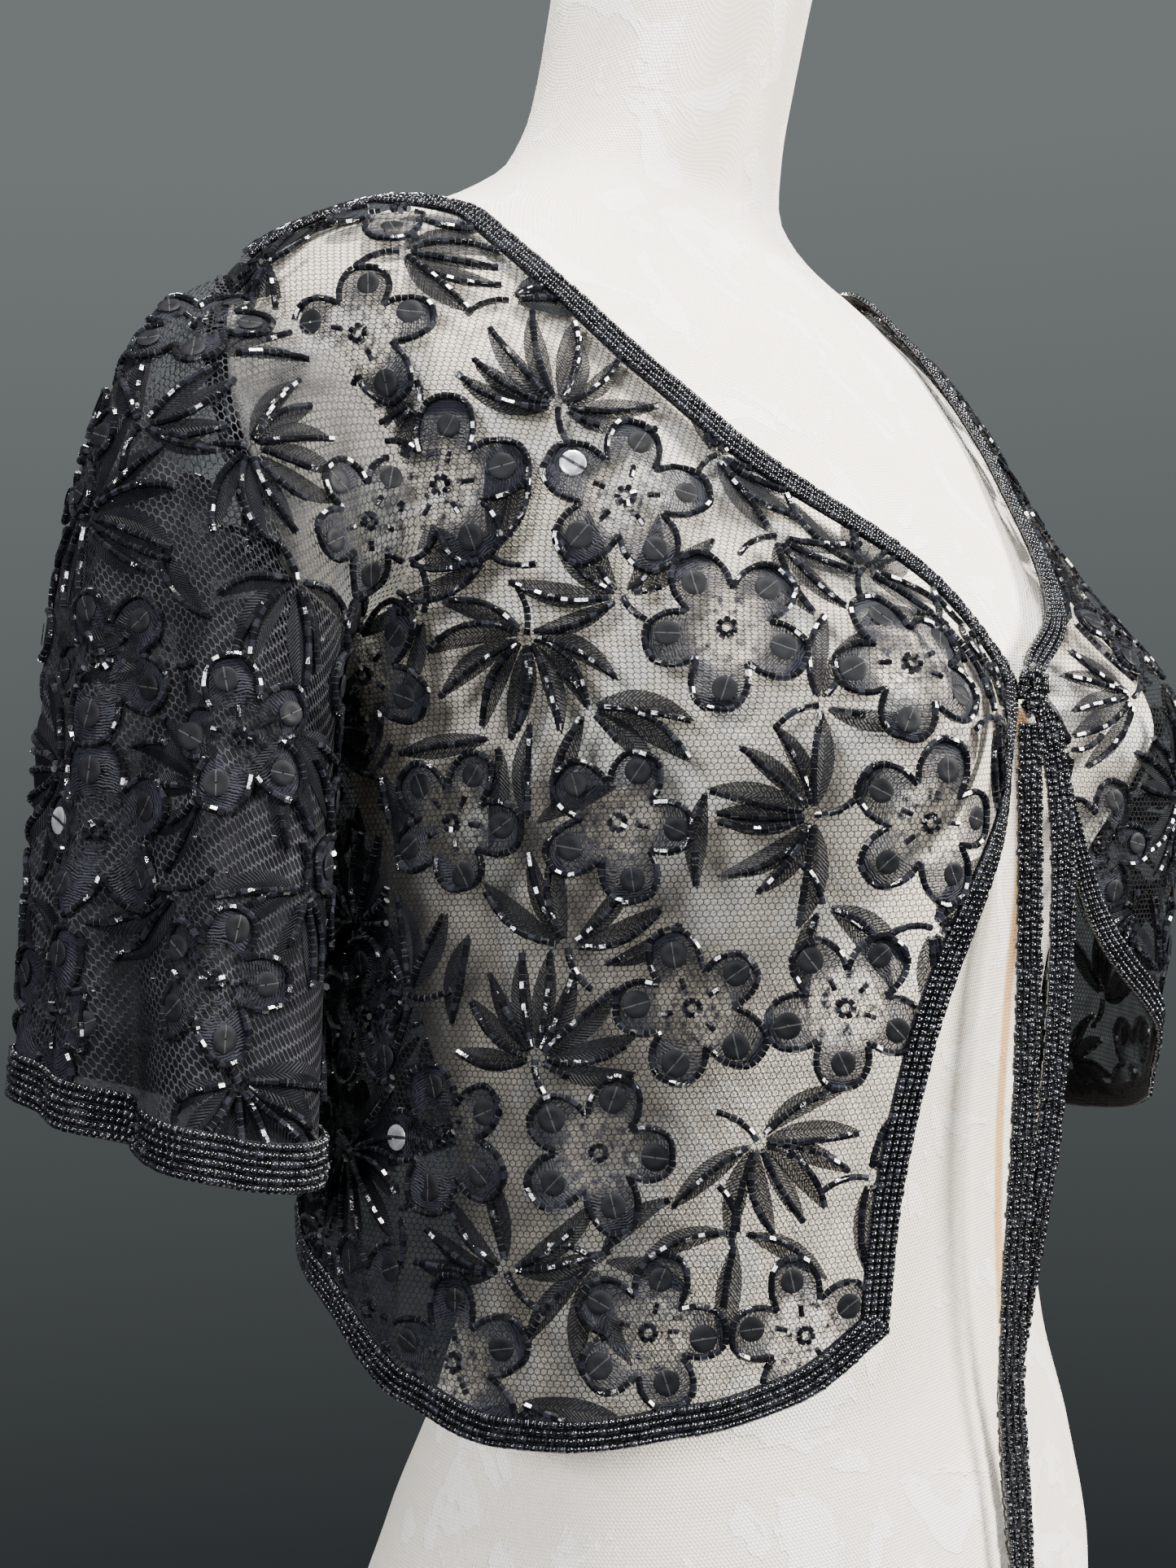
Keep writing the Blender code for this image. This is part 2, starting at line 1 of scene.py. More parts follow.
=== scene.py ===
"""Looks of a beaded lace shrug that rests on a limbless dress form.

Metres, +Z up. The form stands on its flat base at z = 0 and faces -Y, and the
wearer's right is -X. A place on the body is read by its angle from the front
(degrees, + to the wearer's left) and its height. A place on a sleeve is read by
its turn (90 is outside, 0 the front) and its share of the way down.
"""

import logging
import math
from dataclasses import dataclass, field
from enum import Enum

import bpy
import numpy as np
from mathutils import Matrix, Vector

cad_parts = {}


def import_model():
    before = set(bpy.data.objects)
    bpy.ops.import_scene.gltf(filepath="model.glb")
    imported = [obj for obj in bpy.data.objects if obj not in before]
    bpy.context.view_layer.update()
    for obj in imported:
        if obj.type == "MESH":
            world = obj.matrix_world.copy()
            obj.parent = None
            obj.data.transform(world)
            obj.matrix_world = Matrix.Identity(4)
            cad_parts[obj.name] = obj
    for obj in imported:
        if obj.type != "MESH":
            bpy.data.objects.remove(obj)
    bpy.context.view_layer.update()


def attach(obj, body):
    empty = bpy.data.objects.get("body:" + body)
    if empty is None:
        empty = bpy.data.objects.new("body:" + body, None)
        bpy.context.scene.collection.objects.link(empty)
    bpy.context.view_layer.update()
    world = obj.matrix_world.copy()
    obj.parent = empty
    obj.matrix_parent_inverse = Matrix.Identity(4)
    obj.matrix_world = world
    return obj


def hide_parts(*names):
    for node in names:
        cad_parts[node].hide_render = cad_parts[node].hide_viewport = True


LOG = logging.getLogger("beaded_shrug")

Array = np.ndarray
Table = tuple[tuple[float, ...], ...]

ROOT_BODY = "root"
SEED = 20
CLOTH_UV = "cloth"
NORMAL_STEP = 1e-4
BATCH = 4000
TRIES = 1500


class Side(Enum):
    """The wearer's side, with the sign of its x."""

    RIGHT = -1.0
    LEFT = 1.0

    @property
    def word(self) -> str:
        """The side as it stands in the names of pieces."""
        return self.name.lower()


class Slot(Enum):
    """Material slots of the record."""

    LACE = "beaded_lace"
    BEADS = "glass_beads"
    FORM = "form_cover"


# Curves and surfaces


def smooth_read(table: Table | Array, at: Array | float) -> Array:
    """Reads a table's columns along a smooth curve through its rows.

    Args:
        table: Rows of a key and its values, by rising key.
        at: Keys to read at.

    Returns:
        The values, one row for each key.
    """
    rows = np.array(table, float)
    keys, values = rows[:, 0], rows[:, 1:]
    at = np.clip(np.asarray(at, float), keys.min(), keys.max())
    rate = np.diff(values, axis=0) / np.diff(keys)[:, None]
    before, after = rate[:-1], rate[1:]
    total = np.where(before * after > 0, before + after, 1.0)
    inner = np.where(before * after > 0, 2 * before * after / total, 0.0)
    slopes = np.concatenate([rate[:1], inner, rate[-1:]])
    i = np.clip(np.searchsorted(keys, at) - 1, 0, len(keys) - 2)
    span = (keys[i + 1] - keys[i])[..., None]
    t = ((at - keys[i]) / (keys[i + 1] - keys[i]))[..., None]
    return (
        (2 * t**3 - 3 * t**2 + 1) * values[i]
        + (t**3 - 2 * t**2 + t) * span * slopes[i]
        + (3 * t**2 - 2 * t**3) * values[i + 1]
        + (t**3 - t**2) * span * slopes[i + 1]
    )


def run_along(points: Array) -> Array:
    """Length along a line at each of its points, from its first."""
    steps = np.linalg.norm(np.diff(points, axis=0), axis=-1)
    return np.concatenate([[0.0], np.cumsum(steps)])


def path_read(points: Table | Array, count: int) -> Array:
    """Evenly spaced points along a smooth path.

    Args:
        points: The path's corner points.
        count: How many points to read.

    Returns:
        The points, one row each.
    """
    corners = np.array(points, float)
    run = run_along(corners)
    return smooth_read(np.column_stack([run, corners]), np.linspace(0.0, run[-1], count))


def line_read(points: Array, run: Array, at: Array) -> Array:
    """Points at lengths `at` along a finely stepped line."""
    columns = [np.interp(at, run, points[:, c]) for c in range(points.shape[1])]
    return np.stack(columns, axis=-1)


def unit(vectors: Array) -> Array:
    """Vectors at length one."""
    return vectors / np.maximum(np.linalg.norm(vectors, axis=-1, keepdims=True), 1e-12)


def polar(reach: Array | float, turn: Array) -> Array:
    """Pairs across and up, at a reach and a turn."""
    return np.stack([reach * np.cos(turn), reach * np.sin(turn)], axis=-1)


def line_pieces(line: Array, run: Array, marks: Array) -> tuple[Array, Array, Array]:
    """Cuts a line at some lengths along it.

    Args:
        line: Points, then any other columns.
        run: Length along the line at each of its points.
        marks: The lengths to cut at, both ends too.

    Returns:
        The ends, the pieces' middles and the steps from end to end.
    """
    ends = line_read(line, run, marks)
    return ends, (ends[1:] + ends[:-1]) / 2, ends[1:, :3] - ends[:-1, :3]


def coons(bottom: Array, top: Array, left: Array, right: Array) -> Array:
    """Fills a grid in between four edges.

    Args:
        bottom: Points of the first row.
        top: Points of the last row.
        left: Points of the first column.
        right: Points of the last column.

    Returns:
        The grid, by row and column.
    """
    v = np.linspace(0.0, 1.0, len(left))[:, None, None]
    u = np.linspace(0.0, 1.0, len(bottom))[None, :, None]
    ruled_v = (1 - v) * bottom[None] + v * top[None]
    ruled_u = (1 - u) * left[:, None] + u * right[:, None]
    corners = (1 - v) * ((1 - u) * bottom[0] + u * bottom[-1]) + v * (
        (1 - u) * top[0] + u * top[-1]
    )
    return ruled_v + ruled_u - corners


@dataclass(frozen=True)
class Torso:
    """A torso through level sections, with a bust."""

    sections: Table
    bust_width: float
    hang: float
    bust_x: float = 0.087
    bust_z: float = 0.425
    bust_rise: float = 0.041
    bust_height: float = 0.056
    bust_wrap: float = 1.6
    hang_fade: float = 0.5

    def point(self, angle: Array, z: Array) -> Array:
        """Points of the torso.

        Args:
            angle: Angles from the front, in radians.
            z: Heights.

        Returns:
            The points, one row each.
        """
        half, side_y, front_y, back_y, square = np.moveaxis(smooth_read(self.sections, z), -1, 0)
        power = 2.0 / square
        sine, cosine = np.sin(angle), np.cos(angle)
        x = half * np.sign(sine) * np.abs(sine) ** power
        y = side_y + (np.where(cosine > 0, front_y, back_y) - side_y) * np.abs(cosine) ** power
        rise = z - self.bust_z
        height = np.where(rise > 0, self.bust_height, self.hang)
        fade = np.where(rise < 0, 1.0 + rise * self.hang_fade / self.hang, 1.0)
        front = np.clip(cosine * self.bust_wrap, 0.0, 1.0)
        for side in (-1.0, 1.0):
            away = (x - side * self.bust_x) / self.bust_width
            y = y - self.bust_rise * fade * front * np.exp(-(away**2) - (rise / height) ** 2)
        return np.stack([x, y, z + 0.0 * x], axis=-1)


# Sections: z, half width, y of the side, of the front and of the back, squareness
FORM_SECTIONS: Table = (
    (0.000, 0.1630, 0.005, -0.106, 0.116, 2.30),
    (0.050, 0.1700, 0.005, -0.112, 0.122, 2.30),
    (0.100, 0.1700, 0.004, -0.115, 0.122, 2.30),
    (0.150, 0.1570, 0.000, -0.113, 0.108, 2.25),
    (0.200, 0.1380, -0.006, -0.108, 0.089, 2.20),
    (0.240, 0.1290, -0.010, -0.107, 0.080, 2.20),
    (0.280, 0.1290, -0.010, -0.109, 0.081, 2.20),
    (0.330, 0.1370, -0.006, -0.115, 0.089, 2.25),
    (0.380, 0.1470, 0.000, -0.121, 0.098, 2.30),
    (0.430, 0.1570, 0.008, -0.121, 0.106, 2.40),
    (0.480, 0.1670, 0.018, -0.111, 0.112, 2.50),
    (0.530, 0.1800, 0.030, -0.091, 0.112, 2.60),
    (0.565, 0.1905, 0.041, -0.070, 0.108, 2.50),
    (0.583, 0.1905, 0.045, -0.058, 0.104, 2.40),
    (0.595, 0.1840, 0.048, -0.048, 0.100, 2.35),
    (0.606, 0.1700, 0.049, -0.040, 0.096, 2.30),
    (0.616, 0.1510, 0.048, -0.034, 0.092, 2.20),
    (0.625, 0.1290, 0.044, -0.028, 0.086, 2.10),
    (0.634, 0.1030, 0.038, -0.025, 0.080, 2.05),
    (0.644, 0.0830, 0.031, -0.024, 0.073, 2.00),
    (0.656, 0.0680, 0.021, -0.028, 0.066, 2.00),
    (0.680, 0.0595, 0.010, -0.036, 0.056, 2.00),
    (0.720, 0.0570, -0.002, -0.050, 0.046, 2.00),
    (0.760, 0.0560, -0.013, -0.063, 0.037, 2.00),
    (0.768, 0.0500, -0.014, -0.058, 0.030, 2.00),
    (0.771, 0.0300, -0.014, -0.040, 0.012, 2.00),
)
CLOTH_SECTIONS: Table = (
    (0.180, 0.1910, -0.002, -0.1190, 0.122, 2.20),
    (0.230, 0.1890, -0.002, -0.1190, 0.121, 2.20),
    (0.280, 0.1850, -0.001, -0.1200, 0.120, 2.20),
    (0.330, 0.1810, 0.000, -0.1220, 0.119, 2.25),
    (0.380, 0.1770, 0.004, -0.1245, 0.118, 2.30),
    (0.430, 0.1750, 0.010, -0.1245, 0.117, 2.40),
    (0.480, 0.1775, 0.018, -0.1150, 0.117, 2.50),
    (0.530, 0.1850, 0.030, -0.0930, 0.115, 2.60),
    (0.565, 0.1935, 0.041, -0.0710, 0.110, 2.50),
    (0.583, 0.1925, 0.045, -0.0585, 0.106, 2.40),
    (0.595, 0.1868, 0.048, -0.0482, 0.1035, 2.35),
    (0.606, 0.1728, 0.049, -0.0400, 0.0998, 2.30),
    (0.616, 0.1538, 0.048, -0.0340, 0.0948, 2.20),
) + FORM_SECTIONS[17:21]

FORM_TORSO = Torso(FORM_SECTIONS, bust_width=0.056, hang=0.056)
CLOTH_TORSO = Torso(CLOTH_SECTIONS, bust_width=0.058, hang=0.30)

# Creases of the body cloth: angle, z of the middle, half length, half width in
# degrees, depth (- is a ridge), and degrees of lean over its length
BODY_CREASES: Table = (
    (-80.0, 0.330, 0.110, 5.0, 0.0040, 6.0),
    (-68.0, 0.285, 0.080, 4.0, -0.0028, -4.0),
    (-57.0, 0.300, 0.090, 4.5, 0.0026, -6.0),
    (-74.0, 0.440, 0.045, 6.0, 0.0022, 16.0),
    (-46.0, 0.262, 0.060, 3.5, -0.0022, 3.0),
    (82.0, 0.345, 0.090, 5.0, 0.0036, -7.0),
    (70.0, 0.320, 0.060, 4.5, -0.0026, 4.0),
    (60.0, 0.330, 0.070, 4.0, 0.0024, 5.0),
    (76.0, 0.450, 0.045, 6.0, 0.0020, -15.0),
    (108.0, 0.350, 0.100, 6.0, 0.0040, 5.0),
    (126.0, 0.320, 0.080, 6.0, -0.0030, -5.0),
    (150.0, 0.345, 0.100, 7.0, 0.0034, 4.0),
    (180.0, 0.330, 0.090, 8.0, -0.0026, 2.0),
    (207.0, 0.350, 0.100, 7.0, 0.0036, -5.0),
    (232.0, 0.325, 0.080, 6.0, -0.0028, 6.0),
    (250.0, 0.350, 0.100, 6.0, 0.0040, -6.0),
)

# Edges of the cut, of the wearer's right and left. Front edges: x and z, from the
# hem corner up to the shoulder
FRONT_EDGE: dict[Side, Table] = {
    Side.RIGHT: (
        (0.097, 0.238), (0.096, 0.272), (0.093, 0.304), (0.084, 0.350), (0.066, 0.384),
        (0.028, 0.418), (0.005, 0.444), (0.030, 0.470), (0.072, 0.500), (0.097, 0.522),
        (0.116, 0.548), (0.130, 0.576), (0.136, 0.598), (0.135, 0.611),
    ),
    Side.LEFT: (
        (0.103, 0.284), (0.100, 0.296), (0.090, 0.308), (0.068, 0.324), (0.048, 0.341),
        (0.032, 0.362), (0.018, 0.400), (0.005, 0.444), (0.036, 0.472), (0.056, 0.506),
        (0.068, 0.532), (0.078, 0.560), (0.084, 0.584), (0.092, 0.606), (0.102, 0.621),
    ),
}
# Angles round the body, and z
HEM: dict[Side, Table] = {
    Side.RIGHT: ((38, 0.220), (49, 0.213), (62, 0.210), (74, 0.211), (90, 0.222)),
    Side.LEFT: ((40, 0.276), (50, 0.271), (64, 0.267), (77, 0.265), (90, 0.266)),
}
BACK_HEM: Table = (
    (90, 0.266), (104, 0.268), (125, 0.270), (150, 0.269), (180, 0.267),
    (210, 0.264), (235, 0.258), (256, 0.244), (270, 0.222),
)
BACK_NECK: Table = (
    (82, 0.6285), (110, 0.6295), (145, 0.630), (180, 0.628), (215, 0.628), (250, 0.6235),
    (278, 0.6225),
)
NECK_POINT: dict[Side, tuple[float, float]] = {Side.RIGHT: (82, 0.6225), Side.LEFT: (82, 0.6285)}
SHOULDER_TIP: dict[Side, tuple[float, float]] = {Side.RIGHT: (97, 0.592), Side.LEFT: (95, 0.596)}
UNDERARM_Z: dict[Side, float] = {Side.RIGHT: 0.470, Side.LEFT: 0.480}
# Armhole: angle round the body and share of the way up from the underarm
ARMHOLE_FRONT: Table = ((90, 0.0), (84, 0.08), (77, 0.36), (78, 0.72))
ARMHOLE_BACK: Table = ((90, 0.0), (97, 0.08), (106, 0.36), (108, 0.72))


class Surface:
    """A cloth's surface, read by two parameters, with its relief along the normal."""

    facing: float = 1.0
    rounds = 3
    longest = (0.3, 0.1)

    def bare(self, a: Array, b: Array) -> Array:
        """Points of the smooth form under the relief."""
        raise NotImplementedError

    def relief(self, a: Array, b: Array) -> Array:
        """How far the cloth stands off the smooth form."""
        return np.zeros(np.broadcast(a, b).shape)

    def tangents(self, a: Array, b: Array) -> tuple[Array, Array]:
        """Rates of change along the two parameters.

        Args:
            a: First parameter.
            b: Second parameter.

        Returns:
            The two rates, as vectors.
        """
        step = NORMAL_STEP
        along_a = self.bare(a + step, b) - self.bare(a - step, b)
        along_b = self.bare(a, b + step) - self.bare(a, b - step)
        return along_a / (2 * step), along_b / (2 * step)

    def normal(self, a: Array, b: Array) -> Array:
        """Outward normals of the smooth form."""
        return unit(np.cross(*self.tangents(a, b))) * self.facing

    def lifted(self, a: Array, b: Array, lift: Array | float = 0.0) -> tuple[Array, Array]:
        """Points at a height over the cloth.

        Args:
            a: First parameter.
            b: Second parameter.
            lift: Height over the cloth's middle layer, in metres.

        Returns:
            The points and the outward normals there.
        """
        normal = self.normal(a, b)
        height = self.relief(a, b) + lift
        return self.bare(a, b) + normal * np.asarray(height)[..., None], normal

    def settle(self, a: Array, b: Array, target: Array) -> tuple[Array, Array]:
        """Parameters of the places nearest to some points.

        Args:
            a: First parameters to start from.
            b: Second parameters to start from.
            target: The points.

        Returns:
            The two parameters.
        """
        far_a, far_b = self.longest
        for _ in range(self.rounds):
            one, two = self.tangents(a, b)
            gap = target - self.bare(a, b)
            aa, ab, bb, ra, rb = (
                (p * q).sum(-1)
                for p, q in ((one, one), (one, two), (two, two), (one, gap), (two, gap))
            )
            size = np.maximum(aa * bb - ab * ab, 1e-12)
            a = a + np.clip((bb * ra - ab * rb) / size, -far_a, far_a)
            b = b + np.clip((aa * rb - ab * ra) / size, -far_b, far_b)
        return a, b

    def walk(self, a: Array, b: Array, dx: Array, dy: Array) -> tuple[Array, Array]:
        """Parameters of the places reached by steps over the cloth.

        Args:
            a: First parameter of the start.
            b: Second parameter of the start.
            dx: Step across, in metres.
            dy: Step up, in metres.

        Returns:
            The two parameters.
        """
        across = unit(self.tangents(a, b)[0])
        up = np.cross(self.normal(a, b), across)
        target = self.bare(a, b) + across * dx[..., None] + up * dy[..., None]
        return self.settle(a + 0.0 * dx, b + 0.0 * dx, target)

    def flat(self, a: Array, b: Array, middle: float, low: float, steps: int = 24) -> Array:
        """Places on the cloth as if it were laid flat, in metres.

        Args:
            a: First parameters.
            b: Second parameters.
            middle: First parameter at 0.
            low: Second parameter at 0.
            steps: Steps of the measured paths.

        Returns:
            Pairs of metres.
        """
        share = np.linspace(0.0, 1.0, steps + 1).reshape((-1,) + (1,) * a.ndim)
        round_path = self.bare(middle + (a - middle) * share, b + 0.0 * share)
        up_path = self.bare(a + 0.0 * share, low + (b - low) * share)
        u = np.linalg.norm(np.diff(round_path, axis=0), axis=-1).sum(0) * np.sign(a - middle)
        v = np.linalg.norm(np.diff(up_path, axis=0), axis=-1).sum(0) * np.sign(b - low)
        return np.stack([u, v], axis=-1)


def turned_away(degrees: Array, middle: Array | float) -> Array:
    """Degrees from a middle, the shorter way round."""
    return (degrees - middle + 180.0) % 360.0 - 180.0


def creased(table: Table, a: Array, b: Array) -> Array:
    """Depth of the creases at some places.

    Args:
        table: Turn, level, half length, half width, depth and lean of each crease.
        a: Turns, in radians.
        b: Levels.

    Returns:
        The depths, in metres.
    """
    degrees = np.degrees(a)
    depth = np.zeros(np.broadcast(a, b).shape)
    for middle, level, half, width, deep, lean in table:
        along = (b - level) / half
        away = turned_away(degrees - middle, lean * along)
        depth = depth + deep * np.exp(-((away / width) ** 2) - along**4)
    return depth


class BodyCloth(Surface):
    """The cloth round the body: angle from the front (radians) and height."""

    rest = 0.0026

    def bare(self, a: Array, b: Array) -> Array:
        """Points of the smooth body."""
        return CLOTH_TORSO.point(a, b)

    def relief(self, a: Array, b: Array) -> Array:
        """The cloth's rest height less its creases.

        Args:
            a: Angle.
            b: Height.

        Returns:
            How far the cloth stands off the smooth body.
        """
        return self.rest - creased(BODY_CREASES, a, b)


class FormSkin(Surface):
    """The cover of the dress form."""

    def bare(self, a: Array, b: Array) -> Array:
        """Points of the form."""
        return FORM_TORSO.point(a, b)


def body_angle(x: float, z: float) -> float:
    """Angle round the body where its front has this x."""
    half, _, _, _, square = smooth_read(CLOTH_SECTIONS, z)
    return math.asin(min(x / half, 1.0) ** (square / 2.0))


def armhole(side: Side, table: Table) -> list[tuple[float, float]]:
    """An edge of the armhole.

    Args:
        side: The wearer's side.
        table: Angle and share of the way up.

    Returns:
        Angle and z pairs, from the underarm up to the shoulder tip.
    """
    tip_angle, high = SHOULDER_TIP[side]
    low = UNDERARM_Z[side]
    rows = [(math.radians(angle), low + (high - low) * share) for angle, share in table]
    return rows + [(math.radians(tip_angle), high)]


@dataclass(frozen=True)
class SleeveShape:
    """Sizes of one sleeve: the level and half sizes of its hem loop."""

    side: Side
    x: float
    y: float
    z: float
    reach_x: float
    reach_y: float


SLEEVE_SHAPES = {
    Side.RIGHT: SleeveShape(Side.RIGHT, 0.243, 0.046, 0.312, 0.040, 0.056),
    Side.LEFT: SleeveShape(Side.LEFT, 0.240, 0.042, 0.326, 0.038, 0.056),
}
# Folds of a sleeve: turn, depth, half width in degrees, share where they start, lean
SLEEVE_FOLDS: Table = (
    (67.5, 0.0300, 16, 0.20, 4),
    (20, 0.0080, 13, 0.45, 2),
    (106, 0.0080, 13, 0.40, 2),
    (146, 0.0120, 13, 0.30, 3),
    (-140, 0.0050, 16, 0.50, 0),
    (-60, 0.0050, 18, 0.55, 0),
)
# Creases of a sleeve: turn, share of the way down, half length, half width in
# degrees, depth (- is a ridge), and degrees of lean over its length
SLEEVE_CREASES: Table = (
    (50.0, 0.50, 0.34, 7.0, 0.0022, -6.0),
    (36.0, 0.72, 0.24, 6.0, -0.0020, 4.0),
    (88.0, 0.62, 0.30, 7.0, -0.0022, 5.0),
    (122.0, 0.60, 0.28, 8.0, -0.0022, -5.0),
    (6.0, 0.78, 0.20, 8.0, 0.0020, 3.0),
    (96.0, 0.16, 0.10, 9.0, 0.0016, 8.0),
    (72.0, 0.12, 0.09, 8.0, 0.0014, -6.0),
    (168.0, 0.66, 0.26, 9.0, 0.0024, 4.0),
    (-170.0, 0.55, 0.24, 8.0, -0.0018, 3.0),
)


class SleeveCloth(Surface):
    """A sleeve: turn (radians; 90 degrees is outside, 0 the front) and share of the way down."""

    seam_stand = 0.0015
    side_stand = 0.0027
    hem_dip = 0.015
    hem_kick = 0.006
    cap = 0.085
    fall = 0.42
    outward = 0.6
    growth = 0.8
    smooth_to = 0.06
    near_from = 0.04
    wall_span = (0.2, 0.62, 200)

    def __init__(self, shape: SleeveShape, body: BodyCloth) -> None:
        """Measures the armhole that the sleeve starts from.

        Args:
            shape: The sleeve's sizes.
            body: The cloth that it is sewn to.
        """
        self.shape = shape
        self.sign = shape.side.value
        self.facing = -self.sign
        front = path_read(armhole(shape.side, ARMHOLE_FRONT), 240)
        back = path_read(armhole(shape.side, ARMHOLE_BACK), 240)
        loop = np.concatenate([front[::-1], back[1:]])
        smooth = body.bare(loop[:, 0], loop[:, 1])
        away = body.normal(loop[:, 0], loop[:, 1])
        self.start = smooth + away * (body.rest + self.seam_stand)
        self.start[:, 0] *= self.sign
        self.run = run_along(self.start)
        self.wall_z = np.linspace(*self.wall_span)
        side = body.bare(np.full(len(self.wall_z), math.pi / 2), self.wall_z)
        self.wall_x = side[:, 0] + body.rest + self.side_stand

    def bare(self, a: Array, b: Array) -> Array:
        """Points of the smooth sleeve, its folds in it.

        Args:
            a: Turn.
            b: Share of the way down.

        Returns:
            The points, one row each.
        """
        shape, sign = self.shape, self.sign
        a, b = np.broadcast_arrays(np.asarray(a, float), np.asarray(b, float))
        share = ((math.pi / 2 - a) / (2 * math.pi)) % 1.0
        start = line_read(self.start, self.run, share * self.run[-1])
        degrees = np.degrees(a)
        soft = np.exp(-np.clip(b, -0.2, 1.5) / self.cap)
        widening = 1.0 - (1.0 - b) * (self.fall + (1.0 - self.fall) * soft)
        fold = np.zeros(a.shape)
        slip = np.zeros(a.shape)
        for angle, depth, width, begin, lean in SLEEVE_FOLDS:
            away = turned_away(degrees, angle)
            grow = np.clip((b - begin) / (1.0 - begin), 0.0, 1.1) ** self.growth
            valley = grow * np.exp(-((away / width) ** 2))
            fold = fold + depth * valley
            slip = slip + math.radians(lean) * valley
        across, along = np.sin(a - slip), np.cos(a - slip)
        end = np.stack([
            sign * (shape.x + (shape.reach_x - fold * self.outward) * across),
            shape.y - (shape.reach_y - fold) * along,
            shape.z - self.hem_dip * along + self.hem_kick * across,
        ], axis=-1)
        gain = np.stack([widening, widening, b], axis=-1)
        point = start + (end - start) * gain
        clear = np.interp(point[..., 2], self.wall_z, self.wall_x)
        near = (np.sin(a) < 0.0) & (b > self.near_from)
        reach = np.where(near, np.maximum(np.abs(point[..., 0]), clear), np.abs(point[..., 0]))
        point[..., 0] = sign * reach
        return point

    def relief(self, a: Array, b: Array) -> Array:
        """The sleeve's creases.

        Args:
            a: Turn.
            b: Share of the way down.

        Returns:
            How far the cloth stands off the smooth sleeve.
        """
        return -creased(SLEEVE_CREASES, a, b) * np.clip(b / self.smooth_to, 0.0, 1.0)


def nearest(points: Array, line: Array) -> Array:
    """Distance of each point to a finely stepped line.

    Args:
        points: The points.
        line: The line's points.

    Returns:
        The distances.
    """
    found = np.full(len(points), np.inf)
    for first in range(0, len(points), BATCH):
        gap = points[first:first + BATCH, None] - line[None]
        found[first:first + BATCH] = np.sqrt((gap**2).sum(-1)).min(1)
    return found


def within(pairs: Array, loop: Array) -> Array:
    """Whether each pair lies inside a closed loop of pairs.

    Args:
        pairs: The pairs.
        loop: The loop's corners.

    Returns:
        True for each pair inside.
    """
    hits = np.zeros(len(pairs), bool)
    nxt = np.roll(loop, -1, axis=0)
    for (x0, y0), (x1, y1) in zip(loop, nxt):
        if y0 == y1:
            continue
        crosses = (pairs[:, 1] < y0) != (pairs[:, 1] < y1)
        reach = x0 + (pairs[:, 1] - y0) * (x1 - x0) / (y1 - y0)
        hits ^= crosses & (pairs[:, 0] < reach)
    return hits


@dataclass
class Patch:
    """A cut piece of cloth, with the edges that have bands and the sewn ones."""

    surface: Surface
    loop: Array | None
    banded: list[Array]
    seams: list[Array]
    band: float = 0.0102
    seam: float = 0.0012

    def keeps(self, pairs: Array, points: Array, under: float = 0.0) -> Array:
        """Which places are on the open cloth.

        Args:
            pairs: Their parameters.
            points: Their points.
            under: How far they may reach under the bands.

        Returns:
            True for each place that is kept.
        """
        if self.loop is None:
            keep = (pairs[:, 1] > 0.0) & (pairs[:, 1] < 1.0)
        else:
            keep = within(pairs, self.loop)
        for edge in self.banded:
            keep &= nearest(points, edge) > self.band - under
        for edge in self.seams:
            keep &= nearest(points, edge) > self.seam
        return keep


# Meshes


def mesh_piece(
    name: str, points: Array, faces: Array, uv: Array | None = None, smooth: bool = True
) -> bpy.types.Object:
    """A mesh object that is linked to the scene.

    Args:
        name: Its name.
        points: Vertices, one row each.
        faces: Vertex numbers, one row for each face.
        uv: A pair for each corner of each face.
        smooth: Whether its faces are shaded smooth.

    Returns:
        The object.
    """
    mesh = bpy.data.meshes.new(name)
    corners = faces.shape[1]
    mesh.vertices.add(len(points))
    mesh.vertices.foreach_set("co", np.ascontiguousarray(points, float).ravel())
    mesh.loops.add(faces.size)
    mesh.loops.foreach_set("vertex_index", np.ascontiguousarray(faces, int).ravel())
    mesh.polygons.add(len(faces))
    mesh.polygons.foreach_set("loop_start", np.arange(len(faces)) * corners)
    mesh.polygons.foreach_set("use_smooth", np.full(len(faces), smooth))
    if uv is not None:
        layer = mesh.uv_layers.new(name=CLOTH_UV)
        layer.uv.foreach_set("vector", np.ascontiguousarray(uv, float).ravel())
    mesh.update(calc_edges=True)
    mesh.validate()
    piece = bpy.data.objects.new(name, mesh)
    bpy.context.scene.collection.objects.link(piece)
    return piece


def grid_faces(rows: int, cols: int, wrap: bool = False) -> Array:
    """Faces of a grid of points, by row and column.

    Args:
        rows: Number of rows.
        cols: Number of columns.
        wrap: Whether the last column joins the first.

    Returns:
        Four vertex numbers for each face.
    """
    r, c = np.meshgrid(np.arange(rows - 1), np.arange(cols if wrap else cols - 1), indexing="ij")
    d = (c + 1) % cols
    faces = np.stack([r * cols + c, r * cols + d, (r + 1) * cols + d, (r + 1) * cols + c], axis=-1)
    return faces.reshape(-1, 4)


def finish_piece(
    piece: bpy.types.Object, material: bpy.types.Material, nodes: tuple[str, ...] = ()
) -> bpy.types.Object:
    """Dresses a piece, joins it to the frame and reports it.

    Args:
        piece: The object.
        material: Its material.
        nodes: CAD nodes that it stands for.

    Returns:
        The piece.
    """
    piece.data.materials.append(material)
    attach(piece, ROOT_BODY)
    if nodes:
        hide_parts(*nodes)
    LOG.info("%s: %d faces", piece.name, len(piece.data.polygons))
    return piece


# Beads


